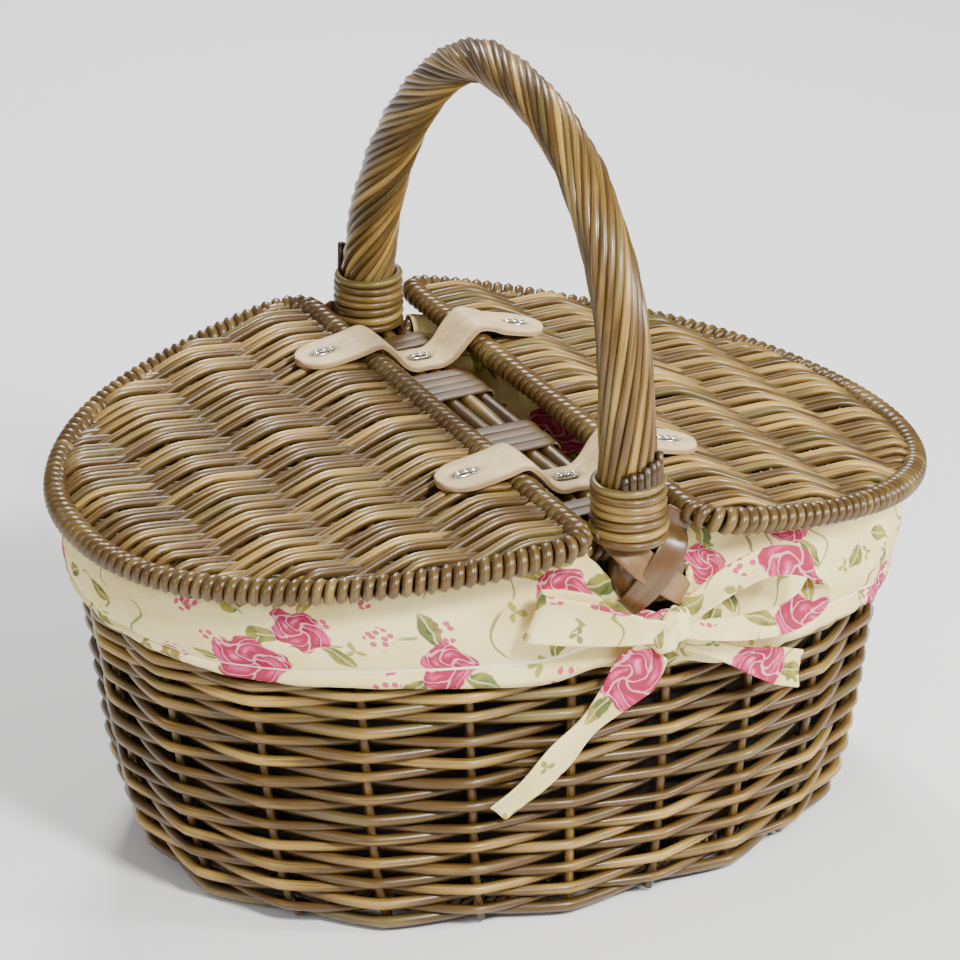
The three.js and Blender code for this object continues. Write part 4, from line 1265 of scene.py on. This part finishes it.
        # Painted light and shade: lift runs across the belly, so one side is painted lighter and the other darker.
        lift = np.clip(0.72 - 0.35 * side * points[:, 0] * -1, 0.2, 0.9).astype(np.float32)
        belly.data.attributes.new("lift", "FLOAT", "POINT").data.foreach_set("value", lift)
        smooth(belly, 180)
        pieces = [belly]
        rise = np.linspace(0, 1, 26)
        for way in (1, -1):
            ends = np.array([[-19, 24], [-13, 14.5], [-4, 4.5], [8, -5.5], [18, -14.5]])
            if way < 0:
                ends = np.array([[15, 24], [7, 12], [-2, 1.5], [-9.5, -7.5], [-14, -15]])
            line = smooth_curve([(x, 0, z) for x, z in ends], len(rise))
            inside = 1 - (line[:, 0] / 21) ** 2 - (line[:, 2] / 20) ** 2
            out = 10.6 * np.sqrt(np.clip(inside, 0.0, 1)) + (1.2 if way > 0 else 2.3)
            line[:, 1] = side * out
            line[:, 0] *= -side
            path = line * MM + middle
            tangent = unit(np.gradient(path, axis=0))
            across = np.cross(tangent, np.array([0, side, 0.25]))
            width = self.skein_width * (1 - 0.25 * rise**3)
            pieces.append(
                flat_skein(name + "_band", path, across, width, 0.77 if way > 0 else 0.43, 0.98)
            )
        piece = join(pieces, name + "_post_lashing_skeins")
        self.finishes.dress(piece, "basket", self.finishes.skein, name + "_post_lashing")


def flat_skein(
    name: str, path: Path, across: Path, width: Path, own: float, lift: float = 0.9
) -> bpy.types.Object:
    """Lay one flat skein of split willow along a path.

    Args:
        name: Name of the piece.
        path: Centre line of the skein's inner face.
        across: Direction across the skein at each point.
        width: Width, or one for each point.
        own: The skein's own number, which sets its tone.
        lift: How far it stands out of the weave.

    Returns:
        The skein, with a rounded face and a thickness.
    """
    piece, _ = ribbon(name, path, across, width, (0.0, 0.0), curl=-0.06)
    place = np.empty(len(piece.data.vertices) * 3)
    piece.data.attributes["cloth"].data.foreach_get("vector", place)
    place = place.reshape(-1, 3)
    rod = np.stack([place[:, 0] + own * 3, place[:, 1] * 60, 0 * place[:, 0] + own], 1)
    edge = np.abs(place[:, 1]) / (0.5 * float(np.max(width)))
    piece.data.attributes.new("rod", "FLOAT_VECTOR", "POINT").data.foreach_set(
        "vector", rod.astype(np.float32).ravel()
    )
    # Painted shade: the lift falls towards the edges, so the stain paints the skein's edges darker.
    lifts = (lift - 0.22 * np.clip(edge, 0, 1) ** 4).astype(np.float32)
    piece.data.attributes.new("lift", "FLOAT", "POINT").data.foreach_set("value", lifts)
    apply_modifier(piece, "SOLIDIFY", thickness=1.1 * MM, offset=0.0)
    apply_modifier(piece, "SUBSURF", levels=1, render_levels=1)
    return piece


def join(pieces: list, name: str) -> bpy.types.Object:
    """Join pieces into one with a name."""
    deselect()
    for piece in pieces:
        piece.select_set(True)
    bpy.context.view_layer.objects.active = pieces[0]
    bpy.ops.object.join()
    pieces[0].name = name
    return pieces[0]


@dataclass
class Crossbar:
    """Four rods between the posts, held by flat skein bands."""

    finishes: Finishes
    rods: int = 4

    def build(self) -> None:
        """Make the rods and the bands."""
        bar = RodBundle("crossbar_rods", sides=10, seed=41)
        names = [f"crossbar_rod_{index + 1}" for index in range(self.rods)]
        for name in names:
            low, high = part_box(name)
            y = np.linspace(low.y, high.y, 30)
            x = 0.5 * (low.x + high.x) + 0.35 * MM * np.sin(y * 40 + low.x * 900)
            z = np.full(30, 0.5 * (low.z + high.z)) + 0.3 * MM * np.sin(y * 55 + low.x * 500)
            radius = 0.5 * (high.x - low.x) * (1 + 0.04 * np.sin(y * 60 + low.x * 300))
            # Painted shade: the rods count 2.2 mm low, so the stain paints the crossbar darker.
            bar.add(np.stack([x, y, z], 1), radius, np.array([0, 0, 1.0]), depth=-2.2 * MM)
        self.finishes.dress(bar.build(), "basket", self.finishes.willow, *names)
        for name in ("near", "inner_near", "inner_far", "far"):
            self.build_band(name)

    def build_band(self, name: str) -> None:
        """Wind flat skeins side by side round the rods, lapped a little over each other."""
        node = "crossbar_skein_" + name
        low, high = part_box(node)
        centre = (low + high) / 2
        half_x, half_z = (high.x - low.x) / 2, (high.z - low.z) / 2
        turns = max(2, round((high.y - low.y) / (7 * MM)))
        width = (high.y - low.y) / turns
        angle = np.linspace(0, TURN, 49)
        pieces = []
        for turn in range(turns):
            lap = 0.35 * MM * (turn % 2)
            x = signed_power(np.cos(angle), 0.35) * (half_x + lap)
            z = signed_power(np.sin(angle), 0.6) * (half_z - 0.6 * MM + lap) + 0.4 * MM * np.sin(angle) * np.cos(angle * 2)
            slant = 1.6 * MM * np.cos(angle) * np.abs(np.sin(angle)) + 0.5 * MM * np.sin(angle * 2 + turn)
            y = low.y + (turn + 0.5) * width + slant
            line = np.stack([centre.x + x, y, centre.z + z], 1)
            pieces.append(flat_skein(node, line, np.array([0, 1.0, 0]), width * 1.16, (turn * 0.37 + 0.2) % 1, 0.86))
        piece = join(pieces, node + "_band")
        self.finishes.dress(piece, "basket", self.finishes.skein, node)


# ---- Straps -------------------------------------------------------------------------------------


@dataclass
class Straps:
    """Two leather straps, each a half for each lid, and the wire staples that hold them."""

    finishes: Finishes
    thickness: float = 3 * MM
    width: float = 27 * MM
    waist: float = 22 * MM
    stud_x: float = 46.5 * MM

    def build(self) -> None:
        """Make both straps and all six staples."""
        for name in ("near", "far"):
            for side, lid in ((-1, "left"), (1, "right")):
                self.build_half(name, side, lid)
            for part, body in (("left", "lid_left"), ("middle", "basket"), ("right", "lid_right")):
                self.build_staple(name, part, body)

    def underside(self, name: str, side: int) -> Path:
        """Line of the strap's underside, from the middle staple to the round end.

        Args:
            name: Which strap, near or far.
            side: -1 for the left half, 1 for the right half.

        Returns:
            Points as distance from the middle and height.
        """
        lid = LidShape(side > 0, BodyShape())
        low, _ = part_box(f"{name}_strap_middle")
        border_x = lid.body.lid_inner_x + lid.border_radius
        hump = lid.height + lid.border_radius + 0.6 * MM
        weave = lambda x: lid.height + 6.0 * MM - math.tan(lid.slope) * (x - lid.body.lid_inner_x)
        end = 59 * MM
        middle = 0.5 * (border_x + 9 * MM + end)
        points = [
            (0, 0, low.z),
            (7 * MM, 0, low.z + 0.2 * MM),
            (13 * MM, 0, low.z + 3.6 * MM),
            (18.5 * MM, 0, low.z + 0.68 * (hump - low.z)),
            (border_x - 2.5 * MM, 0, hump - 0.4 * MM),
            (border_x + 0.5 * MM, 0, hump),
            (border_x + 5 * MM, 0, hump - 1.2 * MM),
            (border_x + 10 * MM, 0, weave(border_x + 10 * MM) + 0.3 * MM),
            (middle, 0, weave(middle)),
            (end, 0, weave(end)),
        ]
        return smooth_curve(points, 91)

    def build_half(self, name: str, side: int, lid: str) -> None:
        """Make half a strap as a crowned slab that follows the lid, with a dent at each staple."""
        line = self.underside(name, side)
        low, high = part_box(f"{name}_strap_middle")
        y_middle = 0.5 * (low.y + high.y)
        length = arc_length(line)
        end = length[-1]
        round_end = self.width / 2
        swell = 0.5 - 0.5 * np.cos(np.clip(length / (0.45 * end), 0, 1) * math.pi)
        half = 0.5 * (self.waist + (self.width - self.waist) * swell)
        near_end = np.clip((length - (end - round_end)) / round_end, 0, 1)
        half = half * np.sqrt(np.maximum(1 - near_end**2, 0.0))
        half[-1] = 0.6 * MM
        tangent = unit(np.gradient(line, axis=0))
        normal = np.stack([-tangent[:, 2], 0 * half, tangent[:, 0]], 1)
        columns = np.linspace(-1, 1, 25)
        across = np.sign(columns) * np.abs(columns) ** 1.1
        layers, dents = [], ([], [])
        for top in (0, 1):
            rows = []
            for share in across:
                crown = 0.45 * MM * (1 - share**4) if top else 0.0
                roll = 0.7 * MM * abs(share) ** 10
                rise = self.thickness * top + crown - (roll if top else -roll)
                row = line + normal * rise
                row[:, 1] = share * half
                hollow = np.zeros(len(line))
                for place in (0.0, self.stud_x):
                    away = np.hypot((line[:, 0] - place) / (7.4 * MM), row[:, 1] / (4.4 * MM))
                    hollow = np.maximum(hollow, np.exp(-(away**4)) * top)
                row -= normal * (1.4 * MM * hollow)[:, None]
                dents[top].append(hollow)
                rows.append(row)
            layers.append(np.stack(rows, 1))
        ring = np.concatenate([layers[1], layers[0][:, ::-1]], axis=1)
        count = ring.shape[1]
        points = ring.reshape(-1, 3) * np.array([side, 1, 1]) + np.array([0, y_middle, 0])
        faces = []
        for i in range(len(line) - 1):
            for j in range(count):
                quad = [i * count + j, i * count + (j + 1) % count]
                quad += [(i + 1) * count + (j + 1) % count, (i + 1) * count + j]
                faces.append(quad if side > 0 else quad[::-1])
        caps = [list(range(count)), [(len(line) - 1) * count + j for j in range(count)]]
        faces.append(caps[0][::-1] if side > 0 else caps[0])
        faces.append(caps[1] if side > 0 else caps[1][::-1])
        edge = np.abs(np.concatenate([across, across[::-1]])) ** 8
        edge = np.maximum(np.tile(edge, len(line)), np.repeat(near_end**6, count))
        # Painted shade: the dents are marked so that the leather is painted dark in them.
        dent = np.concatenate(
            [np.stack(dents[1], 1), np.stack(dents[0], 1)[:, ::-1]], axis=1
        ).ravel()
        piece = make_mesh(f"{name}_strap_{lid}_half", points, faces, {"edge": edge, "dent": dent})
        activate(piece)
        bpy.ops.object.mode_set(mode="EDIT")
        bpy.ops.mesh.select_all(action="SELECT")
        bpy.ops.mesh.normals_make_consistent(inside=False)
        bpy.ops.object.mode_set(mode="OBJECT")
        smooth(piece, 50)
        nodes = [f"{name}_strap_{lid}_end"] + ([f"{name}_strap_middle"] if side > 0 else [])
        self.finishes.dress(piece, "", self.finishes.leather, *nodes)
        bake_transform(piece)

    def build_staple(self, name: str, part: str, body: str) -> None:
        """Make a short staple, three beads on a flat wire loop, that lies in its dent."""
        node = f"{name}_stud_{part}"
        low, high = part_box(node)
        centre = (low + high) / 2
        deselect()
        bpy.ops.mesh.primitive_uv_sphere_add(segments=16, ring_count=10, radius=1.35 * MM)
        bead = bpy.context.object
        bpy.ops.transform.resize(value=(1.2, 0.85, 0.85))
        settle(bead)
        beads = [bead]
        for step in (-1, 1):
            copy = bead.copy()
            copy.data = bead.data.copy()
            bpy.context.scene.collection.objects.link(copy)
            copy.location = (step * 3.3 * MM, -0.3 * MM * step, -0.1 * MM)
            beads.append(copy)
        bead.location = (0, 0, 0.15 * MM)
        deselect()
        bpy.ops.mesh.primitive_torus_add(
            major_radius=3.9 * MM, minor_radius=0.5 * MM, major_segments=28, minor_segments=8
        )
        loop = bpy.context.object
        bpy.ops.transform.resize(value=(1.25, 0.42, 1.0))
        loop.location = (0, 0, -1.0 * MM)
        beads.append(loop)
        deselect()
        for each in beads:
            each.select_set(True)
        bpy.context.view_layer.objects.active = bead
        bpy.ops.object.join()
        slope = {
            "left": -BodyShape().slopes[0], "middle": 0.0, "right": BodyShape().slopes[1]
        }[part]
        staple = bpy.context.object
        staple.name = node + "_staple"
        staple.rotation_euler = (0, slope, 0)
        staple.location = (centre.x, centre.y, centre.z - 0.7 * MM)
        settle(staple)
        smooth(staple, 80)
        self.finishes.dress(staple, body, self.finishes.steel, node)


# ---- Lining -------------------------------------------------------------------------------------


@dataclass
class Lining:
    """Printed cotton bag with a skirt folded over the rim in two halves."""

    shape: BodyShape
    finishes: Finishes
    gap: float = 1.1 * MM
    cloth: float = 0.9 * MM
    knot_x: float = 14 * MM
    columns: int = 220

    def build(self) -> None:
        """Make the bag and both halves of the skirt."""
        self.build_bag()
        for side, name in ((-1, "left"), (1, "right")):
            self.build_skirt(side, name)

    def build_bag(self) -> None:
        """Line the floor and the wall, with soft creases down the wall."""
        shape = self.shape
        low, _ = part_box("lining_bag")
        angle = shape.angles(np.linspace(0, 1, self.columns + 1))
        girth = arc_length(shape.point(angle, -12 * MM, 0.08))
        wall = np.linspace(low.z + 3 * MM, shape.rim_height - 9 * MM, 22)
        grids, flats = [], []
        for share in np.linspace(0.02, 0.97, 12):
            scale = share * (1 - 0.012 * np.sin(angle * 9) * share)
            z = low.z + 1.6 * MM + 0.5 * MM * np.sin(angle * 7 + share * 9) * share
            grids.append(
                shape.point(angle, -12.5 * MM, z, at=np.full_like(angle, low.z), scale=scale)
            )
            flats.append(np.stack([grids[-1][:, 0] + 0.7, grids[-1][:, 1] + 0.4], 1))
        for z in wall:
            share = (z - wall[0]) / (wall[-1] - wall[0])
            crease = 1.3 * MM * np.sin(
                angle * 17 + 2 * np.sin(angle * 3)
            ) * math.sin(math.pi * share) ** 0.6
            grids.append(shape.point(angle, -12.6 * MM + np.minimum(crease, 0.9 * MM), z))
            flats.append(np.stack([girth, np.full_like(girth, z)], 1))
        piece = make_grid("lining_bag_cloth", np.stack(grids), np.stack(flats), closed=True)
        apply_modifier(piece, "SOLIDIFY", thickness=self.cloth, offset=0.0)
        self.shade_back(piece)
        self.finishes.dress(piece, "basket", self.finishes.cotton, "lining_bag")
        tall = wall[-1] - wall[0]
        floor = math.pi * shape.half(low.z, 0) * shape.half(low.z, 1) * 0.86
        flat = (float(girth[-1]), tall + 0.45 * float(shape.half(low.z, 1)) * 2)

    def shade_back(self, piece: bpy.types.Object) -> None:
        """Mark the side of the bag that faces the weave for painted shade, darkest low down and lighter near the
        rim.
        """
        count = len(piece.data.vertices)
        place, normal = np.empty(count * 3), np.empty(count * 3)
        piece.data.vertices.foreach_get("co", place)
        piece.data.vertices.foreach_get("normal", normal)
        place, normal = place.reshape(-1, 3), normal.reshape(-1, 3)
        outward = (unit(place * np.array([1, 1, 0])) * normal).sum(1) - normal[:, 2]
        # Painted shade: outward faces are marked fully low down and about half near the rim.
        back = np.clip(outward * 4, 0, 1) * np.clip((0.142 - place[:, 2]) / 0.030, 0.55, 1)
        layer = piece.data.attributes.new("shade", "FLOAT", "POINT")
        layer.data.foreach_set("value", back.astype(np.float32))

    def edge_x(self, side: int, z: Path) -> Path:
        """X of the skirt's free edge at the near post, for each height."""
        rise = np.clip((z - 0.133) / 0.040, 0, 1)
        if side < 0:
            return self.knot_x - 2 * MM - (self.knot_x + 17 * MM) * rise**1.1
        return self.knot_x - 1 * MM + 14 * MM * np.sin(
            np.clip(rise * 1.35, 0, 1) * math.pi / 2
        ) - 6 * MM * rise**3

    def build_skirt(self, side: int, name: str) -> None:
        """Fold half a skirt over the rim, drape it down the wall and draw it in along its hem."""
        shape = self.shape
        rim = shape.rim_height
        inner_rows = np.linspace(0, 1, 4)
        fold_rows = np.linspace(0, 1, 9)[1:]
        hang_rows = np.linspace(0, 1, 20)[1:]
        fold = shape.rim_radius + self.gap
        profile = [
            ("in", v) for v in inner_rows
        ] + [("fold", v) for v in fold_rows] + [("hang", v) for v in hang_rows]
        share = np.linspace(0, 1, self.columns + 1)
        grid = []
        rng = np.random.default_rng(51 + side)
        waves = [(rng.uniform(8, 34), rng.uniform(0, TURN), rng.uniform(0.3, 1)) for _ in range(9)]
        for kind, v in profile:
            if kind == "in":
                out, z, at = -shape.rim_radius * 0 - 5 * MM - fold, rim - 9 * MM * (1 - v), rim
                depth = -0.2
            elif kind == "fold":
                turn = math.pi * (1 - v)
                out, z, at = -5 * MM + fold * math.cos(turn), rim + fold * math.sin(turn), rim
                depth = 0.0
            else:
                out, z, at, depth = -5 * MM + fold, None, None, v
            # Where the free edges lie at this depth, as X on the near and the far side.
            world_z = 0.178 if depth <= 0 else 0.172 + (0.125 - 0.172) * depth
            near = float(self.edge_x(side, np.array(world_z)))
            far = -float(self.edge_x(-side, np.array(world_z)))
            near_angle = self.angle_of(near, -1)
            far_angle = self.angle_of(far, 1)
            if side > 0:
                angle = near_angle + (far_angle - near_angle) * share
            else:
                angle = far_angle + (near_angle + TURN - far_angle) * share
            angle = self.even(angle)
            if kind == "hang":
                x_guess = shape.top_half[0] * signed_power(np.cos(angle), 2 / shape.power)
                own_x = np.where(np.sin(angle) < 0, x_guess, -x_guess)
                drawn = 8 * MM * np.exp(-(((own_x + 13 * MM) / (17 * MM)) ** 2))
                drawn += 5 * MM * np.exp(-(((own_x - 26 * MM) / (14 * MM)) ** 2))
                wave = 1.3 * MM * np.sin(angle * 6 + 1)
                hem = shape.row_at(
                    shape.hem_height + shape.hem_tilt * x_guess + wave + drawn, x_guess
                )
                z = rim + (hem - rim) * v
                ripple = sum(size * np.sin(angle * rate + phase) for rate, phase, size in waves) / 3
                casing = 0.9 * MM * math.exp(-(((v - 0.80) / 0.035) ** 2))
                puff = 1.6 * MM * math.sin(math.pi * min(v / 0.8, 1)) + 1.1 * MM * math.exp(
                    -(((v - 0.91) / 0.06) ** 2)
                )
                out = out + puff - casing + np.abs(ripple) * 1.5 * MM * v
                z = z + ripple * 0.5 * MM * v
                grid.append(shape.point(angle, out, z))
            else:
                grid.append(
                    shape.point(angle, out, np.full_like(angle, z), at=np.full_like(angle, at))
                )
        grid = np.stack(grid)
        along = np.stack([arc_length(row) for row in grid])
        middle = along[:, -1:] / 2
        down = np.concatenate(
            [[0], np.cumsum(np.linalg.norm(np.diff(grid, axis=0), axis=2).mean(1))]
        )
        start = (2.005, -0.145) if side < 0 else (1.819, -0.008)
        flat = np.stack(
            [along - middle + start[0], np.broadcast_to(-down[:, None], along.shape) + start[1]], -1
        )
        piece = make_grid(f"lining_skirt_{name}_cloth", grid, flat)
        seam = np.zeros(grid.shape[:2])
        seam[-5] = 1.0
        layer = piece.data.attributes.new("seam", "FLOAT", "POINT")
        layer.data.foreach_set("value", seam.astype(np.float32).ravel())
        apply_modifier(piece, "SOLIDIFY", thickness=self.cloth, offset=0.0)
        self.finishes.dress(piece, "basket", self.finishes.cotton, "lining_skirt_" + name)

    def even(self, angle: Path) -> Path:
        """Spread angles evenly along the wall between the same two ends."""
        points = self.shape.point(angle, 0.0, 0.12)
        length = arc_length(points)
        return np.interp(np.linspace(0, length[-1], len(angle)), length, angle)

    def angle_of(self, x: float, side: int) -> float:
        """Angle on the near (-1) or far (1) side at which the wall has an X."""
        cosine = signed_power(np.array(x / self.shape.top_half[0]), self.shape.power / 2)
        return side * math.acos(float(cosine))


# ---- Bows ---------------------------------------------------------------------------------------


def ribbon(
    name: str, path: Path, across: Path, width: Path, start: tuple, curl: float = 0.12
) -> tuple:
    """Sweep a strip of cloth along a path.

    Args:
        name: Name of the piece.
        path: Centre line.
        across: Direction across the strip at each point.
        width: Width, or one for each point.
        start: Where the strip starts on the printed cloth.
        curl: How far the edges roll back, as a share of the width.

    Returns:
        The strip as a single layer, and its length.
    """
    count = len(path)
    tangent = unit(np.gradient(path, axis=0))
    across = np.broadcast_to(across, (count, 3))
    across = unit(across - (across * tangent).sum(1, keepdims=True) * tangent)
    face = np.cross(tangent, across)
    width = np.broadcast_to(width, count)[:, None]
    shares = np.linspace(-0.5, 0.5, 9)
    columns = [
        path + across * width * s + face * width * curl * (
            0.25 - (2 * s) ** 2 * 0.5
        ) for s in shares
    ]
    grid = np.stack(columns, 1)
    along = arc_length(path)
    flat = np.stack(
        [np.repeat(along[:, None], 9, 1) + start[0], width * shares[None, :] + start[1]], -1
    )
    return make_grid(name, grid, flat), float(along[-1])


@dataclass
class Bow:
    """Bow tied at one post: a knot, two loops and two tails."""

    side: str
    finishes: Finishes
    width: float = 13.5 * MM
    cloth: float = 1.3 * MM

    def __post_init__(self) -> None:
        """Read the knot's place off the frame, turned to the near side for the far bow."""
        self.turn = 1 if self.side == "near" else -1
        low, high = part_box(self.side + "_bow_knot")
        centre = np.array((low + high) / 2)
        self.knot = centre * np.array([self.turn, self.turn, 1])
        self.size = np.array((high - low) / 2)

    def lay(self, points: Path) -> Path:
        """Turn points drawn at the near post to this bow's own post."""
        return points * np.array([self.turn, self.turn, 1])

    def build(self) -> None:
        """Make all five pieces of the bow."""
        self.build_knot()
        self.build_loop("left", -1)
        self.build_loop("right", 1)
        self.build_tail(
            "left",
            [(-7, 1, -8), (-20, 3, -24), (-38, 8.5, -45), (-56, 12, -64), (-71, 15.5, -76)],
            (1.119, 0.1275),
        )
        self.build_tail(
            "right",
            [(8, 1, -8), (22, 1, -14), (38, 2, -22), (54, 5, -30), (67, 9, -36)],
            (1.935, 0.3275),
        )

    def finish_strip(self, piece: bpy.types.Object, node: str) -> None:
        """Thicken a strip and dress it."""
        apply_modifier(piece, "SOLIDIFY", thickness=self.cloth, offset=0.0)
        apply_modifier(piece, "SUBSURF", levels=1, render_levels=1)
        self.finishes.dress(piece, "basket", self.finishes.cotton, node)

    def build_knot(self) -> None:
        """Shape a soft knot: a ball pulled in at its waist, with folds round it."""
        deselect()
        bpy.ops.mesh.primitive_uv_sphere_add(segments=36, ring_count=20, radius=1.0)
        knot = bpy.context.object
        knot.name = self.side + "_bow_knot_cloth"
        points = np.array([v.co for v in knot.data.vertices])
        around = np.arctan2(points[:, 1], points[:, 0])
        fold = 1 + 0.07 * np.sin(around * 4 + points[:, 2] * 5) + 0.05 * np.sin(
            points[:, 2] * 11 + around * 2
        )
        waist = 1 - 0.12 * np.exp(-((points[:, 0] + 0.1) ** 2) / 0.05)
        shaped = points * (fold * waist)[:, None] * self.size * 1.05
        shaped[:, 2] += 0.18 * shaped[:, 0]
        placed = self.lay(shaped + self.knot)
        knot.data.vertices.foreach_set("co", placed.astype(np.float32).ravel())
        layer = knot.data.attributes.new("cloth", "FLOAT_VECTOR", "POINT")
        flat = np.stack([around * self.size[0] + 0.93, shaped[:, 2] + 0.62, 0 * around], 1)
        layer.data.foreach_set("vector", flat.astype(np.float32).ravel())
        knot.data.update()
        smooth(knot, 180)
        self.finishes.dress(knot, "basket", self.finishes.cotton, self.side + "_bow_knot")

    def build_loop(self, name: str, side: int) -> None:
        """Bend a ribbon out from the knot and back to it."""
        share = np.linspace(0, 1, 60)
        if side < 0:
            points = [
                (-4, -3, 1),
                (-18, -4.5, 5),
                (-36, -5, 11),
                (-52, -4, 16),
                (-61, -1, 18),
                (-60, 3, 18),
                (-46, 4, 15),
            ]
            points += [(-26, 3, 9), (-5, 1, 3)]
            across = np.stack([0.25 + 0 * share, -0.25 + 0 * share, 1 + 0 * share], 1)
            width = self.width * (0.8 + 0.95 * np.sin(share * math.pi) ** 1.2)
        else:
            points = [
                (4, 0, 4),
                (18, -1, 13),
                (32, -2, 20),
                (46, -3, 23),
                (59, -4, 20),
                (66, -5, 11),
                (62, -6, 2),
            ]
            points += [(48, -6, -3), (28, -5, -3), (5, -3, 0)]
            tilt = 0.75 + 0.2 * np.sin(share * 4)
            across = np.stack([0.25 * np.sin(share * math.pi), -np.cos(tilt), -np.sin(tilt)], 1)
            width = self.width * (0.62 + 0.34 * np.sin(share * math.pi) ** 0.6)
        path = smooth_curve([np.array(p) * MM + self.knot for p in points], 60)
        start = (2.21, 0.165) if side < 0 else (1.399, 0.3917)
        piece, length = ribbon(
            f"{self.side}_bow_loop_{name}_cloth", self.lay(path), self.lay(across), width, start
        )
        self.finish_strip(piece, f"{self.side}_bow_loop_{name}")

    def build_tail(self, name: str, points: list, start: tuple) -> None:
        """Let a tail hang from the knot over the skirt and the wall."""
        path = smooth_curve([np.array(p) * MM + self.knot for p in points], 40)
        share = np.linspace(0, 1, 40)
        run = unit(path[-1] - path[0])
        across = np.cross(run, np.array([0, -1.0, 0]))
        swing = 0.5 * np.sin(share * 5)
        across = across[None] + np.stack([0 * share, swing * 0.8, 0 * share], 1)
        if name == "left":
            width = 1.15 + 0.45 * np.exp(-(((share - 0.12) / 0.1) ** 2)) - 0.5 * np.exp(
                -(((share - 0.45) / 0.15) ** 2)
            )
            width = self.width * width
        else:
            width = self.width * (0.45 + 0.75 * np.clip(share * 1.3, 0, 1) ** 1.2)
        piece, length = ribbon(
            f"{self.side}_bow_tail_{name}_cloth", self.lay(path), self.lay(across), width, start, curl=0.2
        )
        self.finish_strip(piece, f"{self.side}_bow_tail_{name}")


# ---- Studio -------------------------------------------------------------------------------------


@dataclass
class Studio:
    """Camera, floor and soft lights."""

    azimuth: float = math.radians(25.43)
    elevation: float = math.radians(23.85)
    distance: float = 1.798
    sensor: float = 36
    lens: float = 157.1625
    lid_height: float = 185.3 * MM
    aim_right: float = -4.56 * MM
    aim_up: float = -33.93 * MM
    surround: float = 0.34
    light_target: float = 0.15

    def build(self) -> None:
        """Make the camera, the floor, the lights and the backdrop colour."""
        self.build_camera()
        self.build_floor()
        self.build_lights()

    def build_camera(self) -> None:
        """Stand the camera in front of the basket, to the left of the near post."""
        a, e = self.azimuth, self.elevation
        right = Vector((math.cos(a), -math.sin(a), 0))
        up = Vector((math.sin(a) * math.sin(e), math.cos(a) * math.sin(e), math.cos(e)))
        ahead = Vector((math.sin(a) * math.cos(e), math.cos(a) * math.cos(e), -math.sin(e)))
        target = Vector((0, 0, self.lid_height)) + right * self.aim_right + up * self.aim_up
        data = bpy.data.cameras.new("camera")
        data.sensor_width = self.sensor
        data.lens = self.lens
        data.clip_end = 50
        camera = bpy.data.objects.new("camera", data)
        bpy.context.scene.collection.objects.link(camera)
        camera.location = target - ahead * self.distance
        camera.rotation_euler = ahead.to_track_quat("-Z", "Y").to_euler()
        bpy.context.scene.camera = camera

    def build_floor(self) -> None:
        """Lay a wide pale floor."""
        deselect()
        bpy.ops.mesh.primitive_plane_add(size=30, location=(0, 0, -0.0005))
        floor = bpy.context.object
        floor.name = "floor"
        settle(floor)
        material, _, shader = new_material("pale_floor")
        shader.inputs["Base Color"].default_value = (0.92, 0.92, 0.92, 1)
        shader.inputs["Roughness"].default_value = 0.9
        floor.data.materials.append(material)

    def build_lights(self) -> None:
        """Hang four soft lights and a white surround."""
        world = bpy.data.worlds.new("studio")
        bpy.context.scene.world = world
        world.use_nodes = True
        world.node_tree.nodes["Background"].inputs["Color"].default_value = (1, 1, 1, 1)
        world.node_tree.nodes["Background"].inputs["Strength"].default_value = self.surround
        lamps = [
            ("key", (0.2, -1.5, 1.45), 0.38, 60),
            ("fill", (-1.6, -0.9, 1.0), 1.0, 12),
            ("edge", (1.25, -1.0, 0.85), 0.28, 22),
            ("back", (0.4, 1.3, 1.5), 0.6, 34),
        ]
        for name, place, size, power in lamps:
            data = bpy.data.lights.new(name, "AREA")
            data.shape = "DISK"
            data.size = size
            data.energy = power
            lamp = bpy.data.objects.new(name, data)
            bpy.context.scene.collection.objects.link(lamp)
            lamp.location = place
            aim = Vector((0, 0, self.light_target)) - Vector(place)
            lamp.rotation_euler = aim.to_track_quat("-Z", "Y").to_euler()


# ---- Making it all ------------------------------------------------------------------------------


def main() -> None:
    """Build the studio and every piece of the basket."""
    logging.basicConfig(level=logging.INFO, format="%(name)s: %(message)s")
    Studio().build()
    finishes = Finishes()
    shape = BodyShape()
    WovenBody(shape, finishes).build()
    for name, right in (("lid_left", False), ("lid_right", True)):
        WovenLid(name, LidShape(right, shape), finishes).build()
    Handle(finishes).build()
    Crossbar(finishes).build()
    Straps(finishes).build()
    Lining(shape, finishes).build()
    for side in ("near", "far"):
        Bow(side, finishes).build()


if __name__ == "__main__":
    main()
